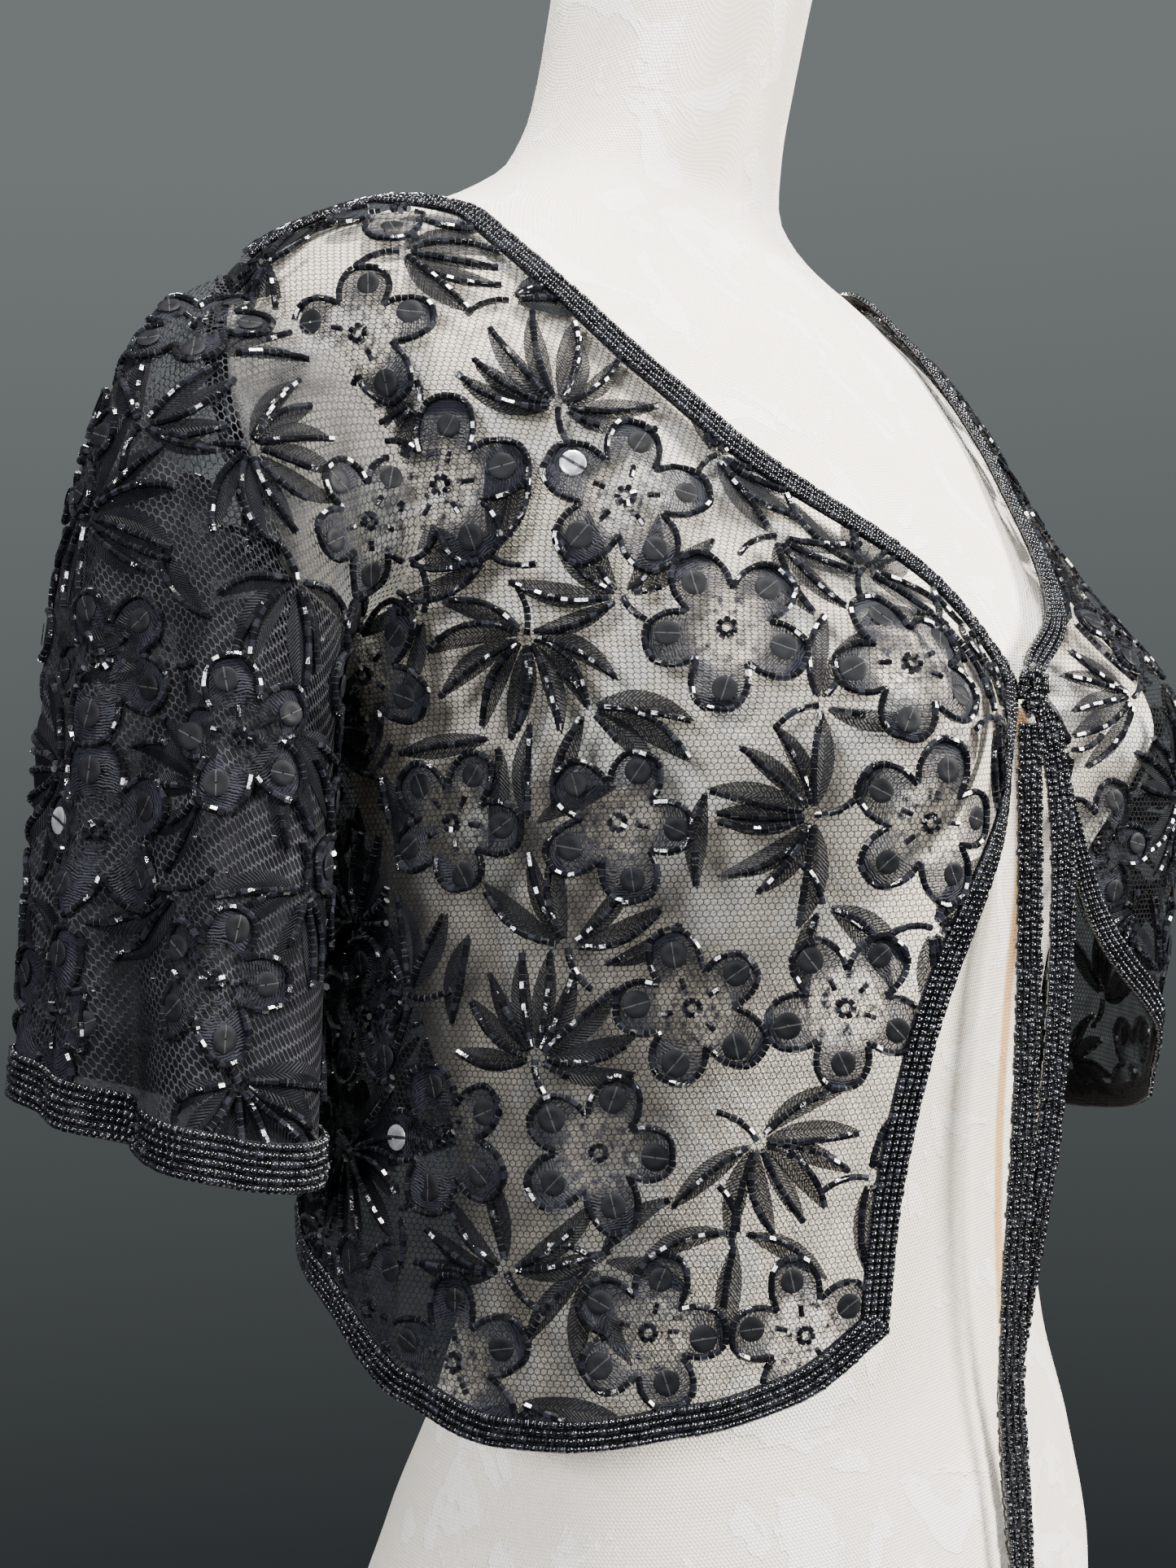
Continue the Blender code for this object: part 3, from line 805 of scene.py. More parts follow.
@dataclass(frozen=True)
class Bead:
    """A size of bead: its length, its radius, and its rings' places and widths."""

    length: float
    radius: float
    rings: tuple[tuple[float, float], ...] = ((-0.5, 1.0), (0.5, 1.0))
    sides: int = 6
    smooth: bool = False

    def template(self) -> tuple[Array, Array]:
        """Points (along, across, up) of one bead, and its faces.

        Returns:
            The points, in shares of the length and of the radius, and the faces.
        """
        turn = np.arange(self.sides) * 2 * math.pi / self.sides
        points = []
        for at, wide in self.rings:
            ring = np.stack([np.full(self.sides, at), np.cos(turn) * wide, np.sin(turn) * wide], -1)
            points.append(ring)
        sides = grid_faces(len(self.rings), self.sides, wrap=True)
        last = (len(self.rings) - 1) * self.sides
        caps = np.array([[0, 1, 2, 3], [0, 3, 4, 5]])
        faces = np.concatenate([sides, caps[:, ::-1], caps + last])
        return np.concatenate(points), faces


OUTLINE = Bead(0.0022, 0.00115)
CUT = Bead(0.0021, 0.00118, smooth=True)
FINE = Bead(0.0018, 0.00095)


class BeadWork:
    """Beads that are gathered for one piece."""

    fill = 0.93
    sizes = (0.93, 1.05)

    def __init__(self, rng: np.random.Generator) -> None:
        """Starts with no beads.

        Args:
            rng: Source of the small differences from bead to bead.
        """
        self.rng = rng
        self.sets: dict[Bead, list[Array]] = {}
        self.count = 0

    def add(self, bead: Bead, middle: Array, along: Array, normal: Array, length: Array) -> None:
        """Adds beads of one size.

        Args:
            bead: The size.
            middle: Their middles.
            along: Directions of their holes.
            normal: Outward directions.
            length: Their lengths.
        """
        if len(middle):
            rows = np.concatenate([middle, along, normal, length[:, None]], axis=1)
            self.sets.setdefault(bead, []).append(rows)
            self.count += len(middle)

    def string(
        self, line: Array, bead: Bead, patch: Patch, middles: Array | None = None,
        room: float = 0.0,
    ) -> None:
        """Strings beads along a line on the cloth.

        Args:
            line: Points, normals and parameters, eight columns.
            bead: The size.
            patch: The cut piece that they have to stay on.
            middles: Middles of the flowers that cover them.
            room: How far those flowers reach.
        """
        run = run_along(line[:, :3])
        pieces = max(1, round(run[-1] / bead.length))
        marks = np.concatenate([[0.0], np.cumsum(np.full(pieces, bead.length))])
        marks *= run[-1] / marks[-1]
        _, middle, gap = line_pieces(line, run, marks)
        keep = patch.keeps(middle[:, 6:8], middle[:, :3])
        if middles is not None and len(middles):
            keep &= nearest(middle[:, :3], middles) > room
        middle, gap = middle[keep], gap[keep]
        length = np.linalg.norm(gap, axis=1) * self.fill
        self.add(bead, middle[:, :3], unit(gap), middle[:, 3:6], length)

    def build(self, name: str) -> bpy.types.Object:
        """Makes one mesh of all the beads.

        Args:
            name: The piece's name.

        Returns:
            The object.
        """
        points, faces, marks = [], [], []
        base = 0
        smooth = all(bead.smooth for bead in self.sets)
        for bead, rows in self.sets.items():
            rows = np.concatenate(rows)
            shape, quads = bead.template()
            count = len(rows)
            middle, along, normal, length = rows[:, :3], rows[:, 3:6], rows[:, 6:9], rows[:, 9]
            across = unit(np.cross(normal, along))
            up = np.cross(along, across)
            roll = self.rng.uniform(0.0, math.pi / 3, count)[:, None]
            turned = across * np.cos(roll) + up * np.sin(roll)
            above = up * np.cos(roll) - across * np.sin(roll)
            size = bead.radius * self.rng.uniform(*self.sizes, count)
            made = (
                middle[:, None]
                + along[:, None] * (shape[None, :, :1] * length[:, None, None])
                + turned[:, None] * (shape[None, :, 1:2] * size[:, None, None])
                + above[:, None] * (shape[None, :, 2:3] * size[:, None, None])
            )
            points.append(made.reshape(-1, 3))
            offset = base + np.arange(count)[:, None, None] * len(shape)
            faces.append((quads[None] + offset).reshape(-1, 4))
            look = np.broadcast_to(self.rng.uniform(0.0, 1.0, (count, 1)), (count, quads.size))
            share = np.broadcast_to(shape[quads.ravel(), 0] + 0.5, (count, quads.size))
            marks.append(np.stack([look, share], axis=-1).reshape(-1, 2))
            base += count * len(shape)
        return mesh_piece(
            name, np.concatenate(points), np.concatenate(faces), np.concatenate(marks), smooth
        )


# Lace motifs


@dataclass(frozen=True)
class FlowerShape:
    """Sizes of a five-petalled flower, and of the bead lines on it."""

    reach: float = 0.0268
    half: float = 0.0098
    power: float = 3.2
    notch: float = 0.0030
    notch_half: float = 0.10
    eye: float = 0.0045
    lobes: int = 5
    segments: int = 70
    rings: int = 7
    puff: float = 0.0007
    lift: float = 0.0007
    bead_lift: float = 0.0018
    layers: int = 3
    layer_step: float = 0.0002
    sizes: tuple[float, float] = (0.88, 1.06)
    uneven: float = 0.045
    bead_reach: float = 0.985
    covered: float = 0.93
    heart_beads: int = 7
    heart_start: float = 0.0014
    heart_length: float = 0.0021
    heart_lift: float = 0.0014
    ray_start: float = 0.0066
    ray_length: float = 0.0040
    ray_lean: float = 0.12
    ray_lift: float = 0.0013
    ray_share: float = 0.5

    def outline(self, turn: Array, petals: Array) -> Array:
        """Reach of the outlines at each turn.

        Args:
            turn: Radians from the middle of the first petal.
            petals: Shares of length and of width for each petal of each flower.

        Returns:
            Metres, a row for each flower.
        """
        step = 2 * math.pi / self.lobes
        lobe = np.round(turn / step).astype(int)
        away = turn - lobe * step
        chosen = petals[:, lobe % self.lobes]
        reach, half = self.reach * chosen[..., 0], self.half * chosen[..., 1]
        wide = (np.abs(np.cos(away)) / reach) ** self.power
        wide = wide + (np.abs(np.sin(away)) / half) ** self.power
        dip = np.exp(-(((step / 2 - np.abs(away)) / self.notch_half) ** 2))
        return wide ** (-1 / self.power) - self.notch * dip


@dataclass(frozen=True)
class SequinShape:
    """Sizes of a sequin: each ring is a share of its radius, and a rise."""

    radius: float = 0.0042
    at: float = 0.0188
    above: float = 0.0005
    sides: int = 16
    rings: Table = ((0.07, -0.0001), (0.50, 0.0), (0.88, 0.0001), (1.0, -0.0002))
    sizes: tuple[float, float] = (0.9, 1.06)
    sway: float = 0.06
    slip: float = 0.03
    tilt: float = 0.05
    swing: float = 0.006
    inset: float = 0.004
    # Share of sequins that get the pale finish, a painted highlight
    bright: float = 0.035


@dataclass(frozen=True)
class LeafShape:
    """Sizes of a leaf, and how the leaves of a spray are chosen."""

    length: float = 0.0325
    width: float = 0.0076
    start: float = 0.0030
    bend: float = 0.38
    fan: float = 1.95
    choices: int = 28
    apart: int = 2
    room: float = 0.0180
    free: float = 0.0056
    steps: int = 9
    lift: float = 0.0004
    ridge: float = 0.0004
    sides: tuple[float, ...] = (-1.0, -0.5, 0.0, 0.5, 1.0)
    checked: tuple[float, ...] = (0.35, 0.65, 0.95)
    far: float = 0.045
    sizes: tuple[float, float] = (0.82, 1.05)
    straight: float = 0.3
    taper: tuple[float, float, float] = (0.96, 0.03, 0.85)
    turned: float = 0.05
    bends: tuple[float, float] = (0.4, 1.2)
    bead_lines: tuple[float, ...] = (0.0, -0.35, 0.35, -0.85, 0.85)
    bead_span: tuple[float, float, int] = (0.02, 0.97, 16)
    bead_lift: float = 0.0014
    stem_leaves: int = 3
    stem: float = 0.016
    stem_bend: float = 0.5
    stem_lift: float = 0.0012

    def half(self, along: Array) -> Array:
        """Half the width at shares of the length."""
        share, start, power = self.taper
        return self.width / 2 * np.sin(math.pi * np.clip(along * share + start, 0, 1)) ** power

    def chosen(self, good: Array, room: Array, most: int) -> tuple[int, list[int]]:
        """Chooses the leaves of one spray, a fan on its freest side.

        Args:
            good: Whether each direction is free.
            room: How far each direction is from a flower.
            most: The most leaves to choose.

        Returns:
            The fan's middle direction, and the directions of its leaves.
        """
        count = self.choices
        score = good * 1.0 + room
        wide = [np.roll(score, k) for k in range(-count // 4, count // 4 + 1)]
        main = int(np.argmax(np.mean(wide, axis=0)))

        def between(one: int, two: int) -> int:
            """Steps between two directions."""
            return min((one - two) % count, (two - one) % count)

        taken: list[int] = []
        for k in sorted(range(count), key=lambda k: between(k, main)):
            in_fan = between(k, main) * (2 * math.pi / count) <= self.fan
            if good[k] and in_fan and len(taken) < most:
                if all(between(k, other) >= self.apart for other in taken):
                    taken.append(k)
        return main, taken

    def drawn(
        self, along: Array, side: Array | float, turns: Array, bends: Array, size: Array
    ) -> tuple[Array, Array]:
        """A line along each leaf.

        Args:
            along: Shares of the length.
            side: Share of the half width, to one side or the other.
            turns: The leaves' directions.
            bends: How far they bend.
            size: Their sizes.

        Returns:
            Metres across and up from the foot, and metres along and across the flat leaf.
        """
        length = (self.start + self.length * along)[None] * size[:, None]
        heading = turns[:, None] + bends[:, None] * (along[None] - self.straight)
        wide = side * self.half(along)[None] * size[:, None]
        x = length * np.cos(heading) - wide * np.sin(heading)
        y = length * np.sin(heading) + wide * np.cos(heading)
        return np.stack([x, y], axis=-1), np.stack([length, wide], axis=-1)


@dataclass
class LaceWork:
    """Flowers and leaf sprays that are sewn to one piece of cloth."""

    name: str
    patch: Patch
    flowers: Array
    sprays: Array
    rng: np.random.Generator
    flower: FlowerShape = field(default_factory=FlowerShape)
    leaf: LeafShape = field(default_factory=LeafShape)
    sequin: SequinShape = field(default_factory=SequinShape)
    leaves_each: int = 9
    under: float = 0.0065

    def place(self, spots: Array, local: Array, lift: Array | float) -> Array:
        """Lays local drawings on the cloth.

        Args:
            spots: Parameters of each drawing's middle.
            local: Metres across and up from there, for each drawing.
            lift: Height over the cloth.

        Returns:
            Points, normals and parameters, eight columns for each drawn place.
        """
        count = local.shape[1]
        a = np.repeat(spots[:, 0], count)
        b = np.repeat(spots[:, 1], count)
        flat = local.reshape(-1, 2)
        a, b = self.patch.surface.walk(a, b, flat[:, 0], flat[:, 1])
        height = np.broadcast_to(lift, local.shape[:2]).ravel()
        points, normals = self.patch.surface.lifted(a, b, height)
        rows = np.concatenate([points, normals, np.stack([a, b], axis=1)], axis=1)
        return rows.reshape(local.shape[0], count, 8)

    def petals(self) -> bpy.types.Object:
        """The filled petals of every flower, one mesh.

        Returns:
            The object.
        """
        shape, total = self.flower, len(self.flowers)
        turn = np.arange(shape.segments) * 2 * math.pi / shape.segments
        outline = shape.outline(turn, self.petal_sizes)[:, None]
        share = np.linspace(0.0, 1.0, shape.rings)[:, None]
        reach = shape.eye + (outline - shape.eye) * share
        spin = self.spin[:, None, None] + turn[None, None]
        reach = reach * self.size[:, None, None]
        lift = shape.lift + shape.puff * np.sin(math.pi * share**1.5)
        lift = np.broadcast_to(lift, reach.shape[1:]).reshape(1, -1)
        lift = lift + (np.arange(total) % shape.layers * shape.layer_step)[:, None]
        rows = self.place(self.flowers, polar(reach, spin).reshape(total, -1, 2), lift)
        faces = grid_faces(shape.rings, shape.segments, wrap=True)
        drawn = polar(reach, turn).reshape(total, -1, 2)
        return self.cut_mesh(f"{self.name}_petals", rows, drawn, faces)

    def cut_mesh(self, name: str, rows: Array, drawn: Array, faces: Array) -> bpy.types.Object:
        """One mesh of all the drawings, less what lies past the piece's edges.

        Args:
            name: The piece's name.
            rows: What `place` gave.
            drawn: The flat drawing's metres, for the material.
            faces: Faces of one drawing.

        Returns:
            The object.
        """
        total, count = rows.shape[:2]
        flat = rows.reshape(-1, 8)
        keep = self.patch.keeps(flat[:, 6:8], flat[:, :3], self.under)
        every = (faces[None] + np.arange(total)[:, None, None] * count).reshape(-1, 4)
        every = every[keep[every].all(axis=1)]
        used, index = np.unique(every, return_inverse=True)
        uv = drawn.reshape(-1, 2)[every].reshape(-1, 2)
        return mesh_piece(name, flat[used, :3], index.reshape(every.shape), uv)

    def outlines(self, work: BeadWork) -> None:
        """Beads round the flowers, in their petals and round their eyes.

        Args:
            work: Where the beads go.
        """
        shape = self.flower
        turn = np.linspace(0.0, 2 * math.pi, 241)
        reach = shape.outline(turn, self.petal_sizes) * self.size[:, None] * shape.bead_reach
        local = polar(reach, self.spin[:, None] + turn[None])
        for number, line in enumerate(self.place(self.flowers, local, shape.bead_lift)):
            work.string(line, OUTLINE, self.patch, self.middles[:number], self.covered)
        step = np.linspace(0.0, 1.0, 8)
        reach = (shape.heart_start + shape.heart_length * step)[None] * self.size[:, None]
        for spoke in range(shape.heart_beads):
            local = polar(reach, self.spin[:, None] + spoke * 2 * math.pi / shape.heart_beads)
            for line in self.place(self.flowers, local, shape.heart_lift):
                work.string(line, OUTLINE, self.patch)
        reach = (shape.ray_start + shape.ray_length * step)[None] * self.size[:, None]
        for petal in range(shape.lobes):
            lean = self.rng.normal(0.0, shape.ray_lean, len(self.flowers))[:, None]
            side = self.spin[:, None] + petal * 2 * math.pi / shape.lobes + lean
            for line in self.place(self.flowers, polar(reach, side), shape.ray_lift):
                if self.rng.uniform() < shape.ray_share:
                    work.string(line, FINE, self.patch)

    def sequins(self) -> list[bpy.types.Object]:
        """A slightly tilted sequin in each petal, stitched across its middle.

        Returns:
            The dark ones as one mesh, and the few with a painted highlight as another.
        """
        shape, count = self.sequin, self.flower.lobes
        spin = self.spin[:, None] + np.arange(count)[None] * 2 * math.pi / count
        spin = spin + self.rng.normal(0.0, shape.sway, spin.shape)
        reach = shape.at * self.size[:, None] * self.rng.normal(1.0, shape.slip, spin.shape)
        lift = self.flower.bead_lift + shape.above
        rows = self.place(self.flowers, polar(reach, spin), lift).reshape(-1, 8)
        hearts = np.repeat(self.middles, count, axis=0)
        keep = self.patch.keeps(rows[:, 6:8], rows[:, :3], -shape.inset)
        rows, hearts = rows[keep], hearts[keep]
        total = len(rows)
        middle, normal = rows[:, :3], rows[:, 3:6]
        tilted = unit(normal + self.rng.normal(0.0, shape.tilt, (total, 3)))
        outward = middle - hearts + self.rng.normal(0.0, shape.swing, (total, 3))
        across = unit(outward - tilted * (outward * tilted).sum(-1, keepdims=True))
        up = np.cross(tilted, across)
        turn = np.arange(shape.sides) * 2 * math.pi / shape.sides
        size = shape.radius * self.rng.uniform(*shape.sizes, (total, 1, 1))
        edge = across[:, None] * np.cos(turn)[:, None] + up[:, None] * np.sin(turn)[:, None]
        rings = [
            middle[:, None] + edge * size * share + tilted[:, None] * rise
            for share, rise in shape.rings
        ]
        points = np.stack(rings, axis=1).reshape(total, -1, 3)
        flat = np.concatenate([polar(share, turn) for share, _ in shape.rings])
        faces = grid_faces(len(rings), shape.sides, wrap=True)
        # A few sequins get the pale finish: a painted highlight
        bright = self.rng.uniform(size=total) < shape.bright
        made = []
        for word, chosen in (("sequins", ~bright), ("bright_sequins", bright)):
            some = points[chosen]
            if len(some):
                step = np.arange(len(some))[:, None, None] * points.shape[1]
                uv = np.broadcast_to(flat[faces], (len(some),) + faces.shape + (2,)).reshape(-1, 2)
                every = (faces[None] + step).reshape(-1, 4)
                made.append(mesh_piece(f"{self.name}_{word}", some.reshape(-1, 3), every, uv))
        return made

    def leaf_turns(self) -> tuple[Array, Array, Array]:
        """Directions of the leaves of each spray: a fan that keeps clear of the flowers.

        Returns:
            The spot of each leaf's foot, its direction and the way it bends.
        """
        shape, surface = self.leaf, self.patch.surface
        count = shape.choices
        spots, turns, bends = [], [], []
        self.stems: list[tuple[Array, float]] = []
        filled = np.zeros((0, 3))
        shares = np.array(shape.checked)[:, None]
        for spot in self.sprays:
            step = 2 * math.pi / count
            turn = self.rng.uniform(0.0, step) + np.arange(count) * step
            reach = shape.start + shape.length * shares
            x, y = polar(reach, turn).reshape(-1, 2).T
            a, b = surface.walk(np.full(x.size, spot[0]), np.full(x.size, spot[1]), x, y)
            points = surface.bare(a, b).reshape(-1, count, 3)
            room = np.minimum(nearest(points[-1], self.middles), shape.far)
            if len(filled):
                gap = np.min([nearest(row, filled) for row in points], axis=0)
            else:
                gap = np.full(count, 1.0)
            good = (room > shape.room) & (gap > shape.free)
            main, taken = shape.chosen(good, room, self.leaves_each)
            for k in taken:
                away = (k - main + count // 2) % count - count // 2
                spots.append(spot)
                turns.append(turn[k] + self.rng.normal(0.0, shape.turned))
                bends.append(-np.sign(away) * shape.bend * self.rng.uniform(*shape.bends))
            if len(taken) >= shape.stem_leaves:
                self.stems.append((spot, float(turn[main]) + math.pi))
            filled = np.concatenate([filled, points[:, taken].reshape(-1, 3)])
        return np.array(spots).reshape(-1, 2), np.array(turns), np.array(bends)

    def leaves(self, work: BeadWork) -> bpy.types.Object:
        """The leaves of every spray, one mesh, and the beads on them.

        Args:
            work: Where the beads go.

        Returns:
            The object.
        """
        shape = self.leaf
        spots, turns, bends = self.leaf_turns()
        total = len(spots)
        along = np.linspace(0.0, 1.0, shape.steps)
        size = self.rng.uniform(*shape.sizes, total)
        lines = [shape.drawn(along, side, turns, bends, size) for side in shape.sides]
        local, drawn = (np.stack(kind, axis=1).reshape(total, -1, 2) for kind in zip(*lines))
        lift = shape.lift + shape.ridge * (1.0 - np.abs(shape.sides))
        rows = self.place(spots, local, np.repeat(lift, shape.steps)[None])
        faces = grid_faces(len(shape.sides), shape.steps)
        piece = self.cut_mesh(f"{self.name}_leaves", rows, drawn, faces)
        fine = np.linspace(*shape.bead_span)
        beaded = self.rng.choice(shape.bead_lines, total)[:, None]
        midribs = shape.drawn(fine, beaded, turns, bends, size)[0]
        lines = list(self.place(spots, midribs, shape.bead_lift))
        for spot, turn in self.stems:
            local = polar(fine * shape.stem, turn + shape.stem_bend * fine)
            lines.append(self.place(spot[None], local[None], shape.stem_lift)[0])
        for line in lines:
            work.string(line, OUTLINE, self.patch, self.middles, self.covered)
        return piece

    def build(self, finishes: "Finishes") -> list[bpy.types.Object]:
        """Makes the petals, leaves, sequins and beads.

        Args:
            finishes: The materials.

        Returns:
            The pieces.
        """
        count = len(self.flowers)
        self.spin = self.rng.uniform(0.0, 2 * math.pi, count)
        self.size = self.rng.uniform(*self.flower.sizes, count)
        self.petal_sizes = self.rng.normal(1.0, self.flower.uneven, (count, self.flower.lobes, 2))
        self.middles = self.patch.surface.lifted(self.flowers[:, 0], self.flowers[:, 1])[0]
        self.covered = self.flower.reach * self.flower.covered
        work = BeadWork(self.rng)
        petals = self.petals()
        leaves = self.leaves(work)
        self.outlines(work)
        sequins = self.sequins()
        beads = work.build(f"{self.name}_beads")
        LOG.info("%s: %d beads, %d flowers", self.name, work.count, count)
        finish_piece(petals, finishes.petal)
        finish_piece(leaves, finishes.leaf)
        for piece, material in zip(sequins, (finishes.sequin, finishes.bright_sequin)):
            finish_piece(piece, material)
        finish_piece(beads, finishes.glass)
        return [petals, leaves, *sequins, beads]


def spaced(
    places: Array, points: Array, taken: Array | list[Array], apart: float
) -> tuple[Array, Array]:
    """Takes places in turn, less those too near to one that is taken.

    Args:
        places: Parameters to take from.
        points: Their points.
        taken: Points that are taken already.
        apart: The room that each needs.

    Returns:
        The parameters that were taken, and all the taken points.
    """
    taken, more = list(taken), []
    for pair, point in zip(places, points):
        if not taken or nearest(point[None], np.array(taken))[0] > apart:
            taken.append(point)
            more.append(pair)
    return np.array(more).reshape(-1, 2), np.array(taken)


def scattered(
    patch: Patch, low: tuple[float, float], high: tuple[float, float],
    rng: np.random.Generator, flowers: Array | None = None, sprays: Array | None = None,
    apart: float = 0.0535, clear: float = 0.029, sprays_apart: float = 0.031,
) -> tuple[Array, Array]:
    """Even, staggered places for flowers and for the sprays between them.

    Args:
        patch: The cut piece.
        low: Lowest parameters.
        high: Highest parameters.
        rng: Source of the places.
        flowers: Places that come first, if any.
        sprays: Places that come first, if any.
        apart: Room between flowers.
        clear: Room between a flower and a spray.
        sprays_apart: Room between sprays.

    Returns:
        Parameters of the flowers and of the sprays.
    """
    bare = patch.surface.bare
    tries = rng.uniform(low, high, (TRIES, 2))
    points = bare(tries[:, 0], tries[:, 1])
    open_cloth = patch.keeps(tries, points, under=-0.002)
    tries, points = tries[open_cloth], points[open_cloth]
    flowers, sprays = (
        np.zeros((0, 2)) if places is None else places for places in (flowers, sprays)
    )
    more, hearts = spaced(tries, points, bare(flowers[:, 0], flowers[:, 1]), apart)
    flowers = np.concatenate([flowers, more])
    away = nearest(points, hearts) >= clear
    taken = bare(sprays[:, 0], sprays[:, 1])
    more, _ = spaced(tries[away], points[away], taken, sprays_apart)
    return flowers, np.concatenate([sprays, more])


# Bands, panels and sleeves


@dataclass
class EdgeBand:
    """A flat band of bead rows on a dark tape, along an edge of the cloth.

    The spacing and fill are in bead lengths. A stop is a line, and the room that the
    beads keep from it. Start, lean, rise and turned are the small differences.
    """

    name: str
    patch: Patch
    edge: Array
    nodes: tuple[str, ...]
    rows: int = 4
    width: float = 0.010
    tape_lift: float = 0.0010
    bead_lift: float = 0.0022
    closed: bool = False
    stops: list[tuple[Array, float]] = field(default_factory=list)
    tape_from: float = 0.0003
    tape_at: tuple[float, ...] = (0.33, 0.67, 1.0)
    tape_stop: float = 0.6
    inside: float = 1.6
    inside_under: float = 0.004
    spacing: float = 1.06
    fill: float = 0.94
    trim: float = 0.90
    start: float = 0.05
    lean: float = 0.05
    rise: float = 0.00012
    turned: float = 0.00008

    def offset(self, away: float, lift: float) -> Array:
        """A line on the cloth at a distance inside the edge.

        Args:
            away: The distance.
            lift: Height over the cloth.

        Returns:
            Points, normals and parameters, eight columns.
        """
        surface = self.patch.surface
        a, b = self.edge[:, 0], self.edge[:, 1]
        points = surface.bare(a, b)
        normal = surface.normal(a, b)
        if self.closed:
            tangent = unit(np.roll(points, -1, axis=0) - np.roll(points, 1, axis=0))
        else:
            tangent = unit(np.gradient(points, axis=0))
        target = points + np.cross(normal, tangent) * self.hand * away
        a, b = surface.settle(a, b, target)
        lifted, normal = surface.lifted(a, b, lift)
        rows = np.concatenate([lifted, normal, np.stack([a, b], axis=1)], axis=1)
        if self.closed:
            rows = np.concatenate([rows, rows[:1]])
        return rows

    def find_hand(self) -> None:
        """Finds on which side of the edge the cloth lies."""
        best = -1
        for hand in (1.0, -1.0):
            self.hand = hand
            rows = self.offset(self.width * self.inside, 0.0)
            kept = self.patch.keeps(rows[:, 6:8], rows[:, :3], self.inside_under)
            if kept.sum() > best:
                best, chosen = int(kept.sum()), hand
        self.hand = chosen

    def build(self, finishes: "Finishes", rng: np.random.Generator) -> list[bpy.types.Object]:
        """Makes the tape and its rows of beads.

        Args:
            finishes: The materials.
            rng: Source of the small differences.

        Returns:
            The pieces.
        """
        self.find_hand()
        surface = self.patch.surface
        true_edge = surface.lifted(self.edge[:, 0], self.edge[:, 1])[0]
        pitch = self.width / self.rows
        work = BeadWork(rng)
        for row in range(self.rows):
            away = pitch * (row + 0.5)
            line = self.offset(away, self.bead_lift)
            run = run_along(line[:, :3])
            pieces = max(2, round(run[-1] / (CUT.length * self.spacing)))
            start = rng.uniform(-self.start, self.start)
            marks = (np.arange(pieces + 1) + start) * run[-1] / pieces
            _, middle, gap = line_pieces(line, run, marks)
            keep = nearest(middle[:, :3], true_edge) > away * self.trim
            for stop, room in self.stops:
                keep &= nearest(middle[:, :3], stop) > room
            middle, gap = middle[keep], gap[keep]
            length = np.linalg.norm(gap, axis=1) * self.fill
            normal = middle[:, 3:6] + rng.normal(0.0, self.lean, (len(middle), 3))
            spots = middle[:, :3] + normal * rng.normal(0.0, self.rise, (len(middle), 1))
            along = unit(gap + rng.normal(0.0, self.turned, gap.shape))
            work.add(CUT, spots, along, unit(normal), length)
        beads = work.build(f"{self.name}_beads")
        tape = self.tape()
        finish_piece(beads, finishes.glass, self.nodes)
        finish_piece(tape, finishes.tape)
        return [beads, tape]

    def tape(self) -> bpy.types.Object:
        """The dark tape under the beads.

        Returns:
            The object.
        """
        aways = np.array([self.tape_from, *(self.width * share for share in self.tape_at)])
        grid = np.stack([self.offset(away, self.tape_lift)[:, :3] for away in aways])
        rows, cols = grid.shape[:2]
        keep = np.ones(cols, bool)
        for stop, room in self.stops:
            keep &= nearest(grid[1], stop) > room * self.tape_stop
        faces = grid_faces(rows, cols)
        faces = faces[keep[faces % cols].all(axis=1)]
        drawn = np.stack(np.broadcast_arrays(run_along(grid[0])[None], aways[:, None]), -1)
        drawn = drawn.reshape(-1, 2)
        used, index = np.unique(faces, return_inverse=True)
        return mesh_piece(
            f"{self.name}_tape", grid.reshape(-1, 3)[used], index.reshape(faces.shape),
            drawn[faces].reshape(-1, 2),
        )


def report_cut(name: str, points: Array, faces: Array, drawn: Array) -> None:
    """Logs a net's flat size and its area.

    Args:
        name: The net's name.
        points: Its points.
        faces: Its faces, of four corners.
        drawn: Its points laid out flat, in metres.
    """
    cut = points[faces]
    crossed = np.cross(cut[:, 2] - cut[:, 0], cut[:, 3] - cut[:, 1])
    area = 0.5 * np.linalg.norm(crossed, axis=-1).sum()
    size = drawn.max(axis=0) - drawn.min(axis=0)
    LOG.info("%s: net %.3f by %.3f m, area %.4f m2", name, *size, area)


@dataclass
class Panel:
    """A front or the back: its net, lace and bands."""

    name: str
    body: BodyCloth
    low: Array
    high: Array
    first: Array
    last: Array
    middle: float
    flat: tuple[float, float]
    area: float
    low_z: float = 0.20

    def __post_init__(self) -> None:
        """Finds the panel's outline and its edges."""
        self.grid = coons(self.low, self.high, self.first, self.last)
        self.loop = np.concatenate(
            [self.low, self.last[1:], self.high[::-1][1:], self.first[::-1][1:-1]]
        )

    def line(self, pairs: Array) -> Array:
        """Points of an edge on the cloth."""
        return self.body.lifted(pairs[:, 0], pairs[:, 1])[0]

    def net(self) -> bpy.types.Object:
        """The net, laid out in metres for its mesh.

        Returns:
            The object.
        """
        rows, cols = self.grid.shape[:2]
        a, b = self.grid[..., 0].ravel(), self.grid[..., 1].ravel()
        points = self.body.lifted(a, b)[0]
        faces = grid_faces(rows, cols)
        drawn = self.body.flat(a, b, self.middle, self.low_z)
        report_cut(self.name, points, faces, drawn)
        return mesh_piece(self.name, points, faces, drawn[faces].reshape(-1, 2))


# Flat sizes and areas of the cut pieces
FRONT_CUT = {Side.RIGHT: ((0.315, 0.520), 0.078), Side.LEFT: ((0.300, 0.440), 0.078)}
BACK_CUT = ((0.560, 0.400), 0.170)
SLEEVE_CUT = {Side.RIGHT: ((0.42, 0.30), 0.072), Side.LEFT: ((0.42, 0.28), 0.067)}

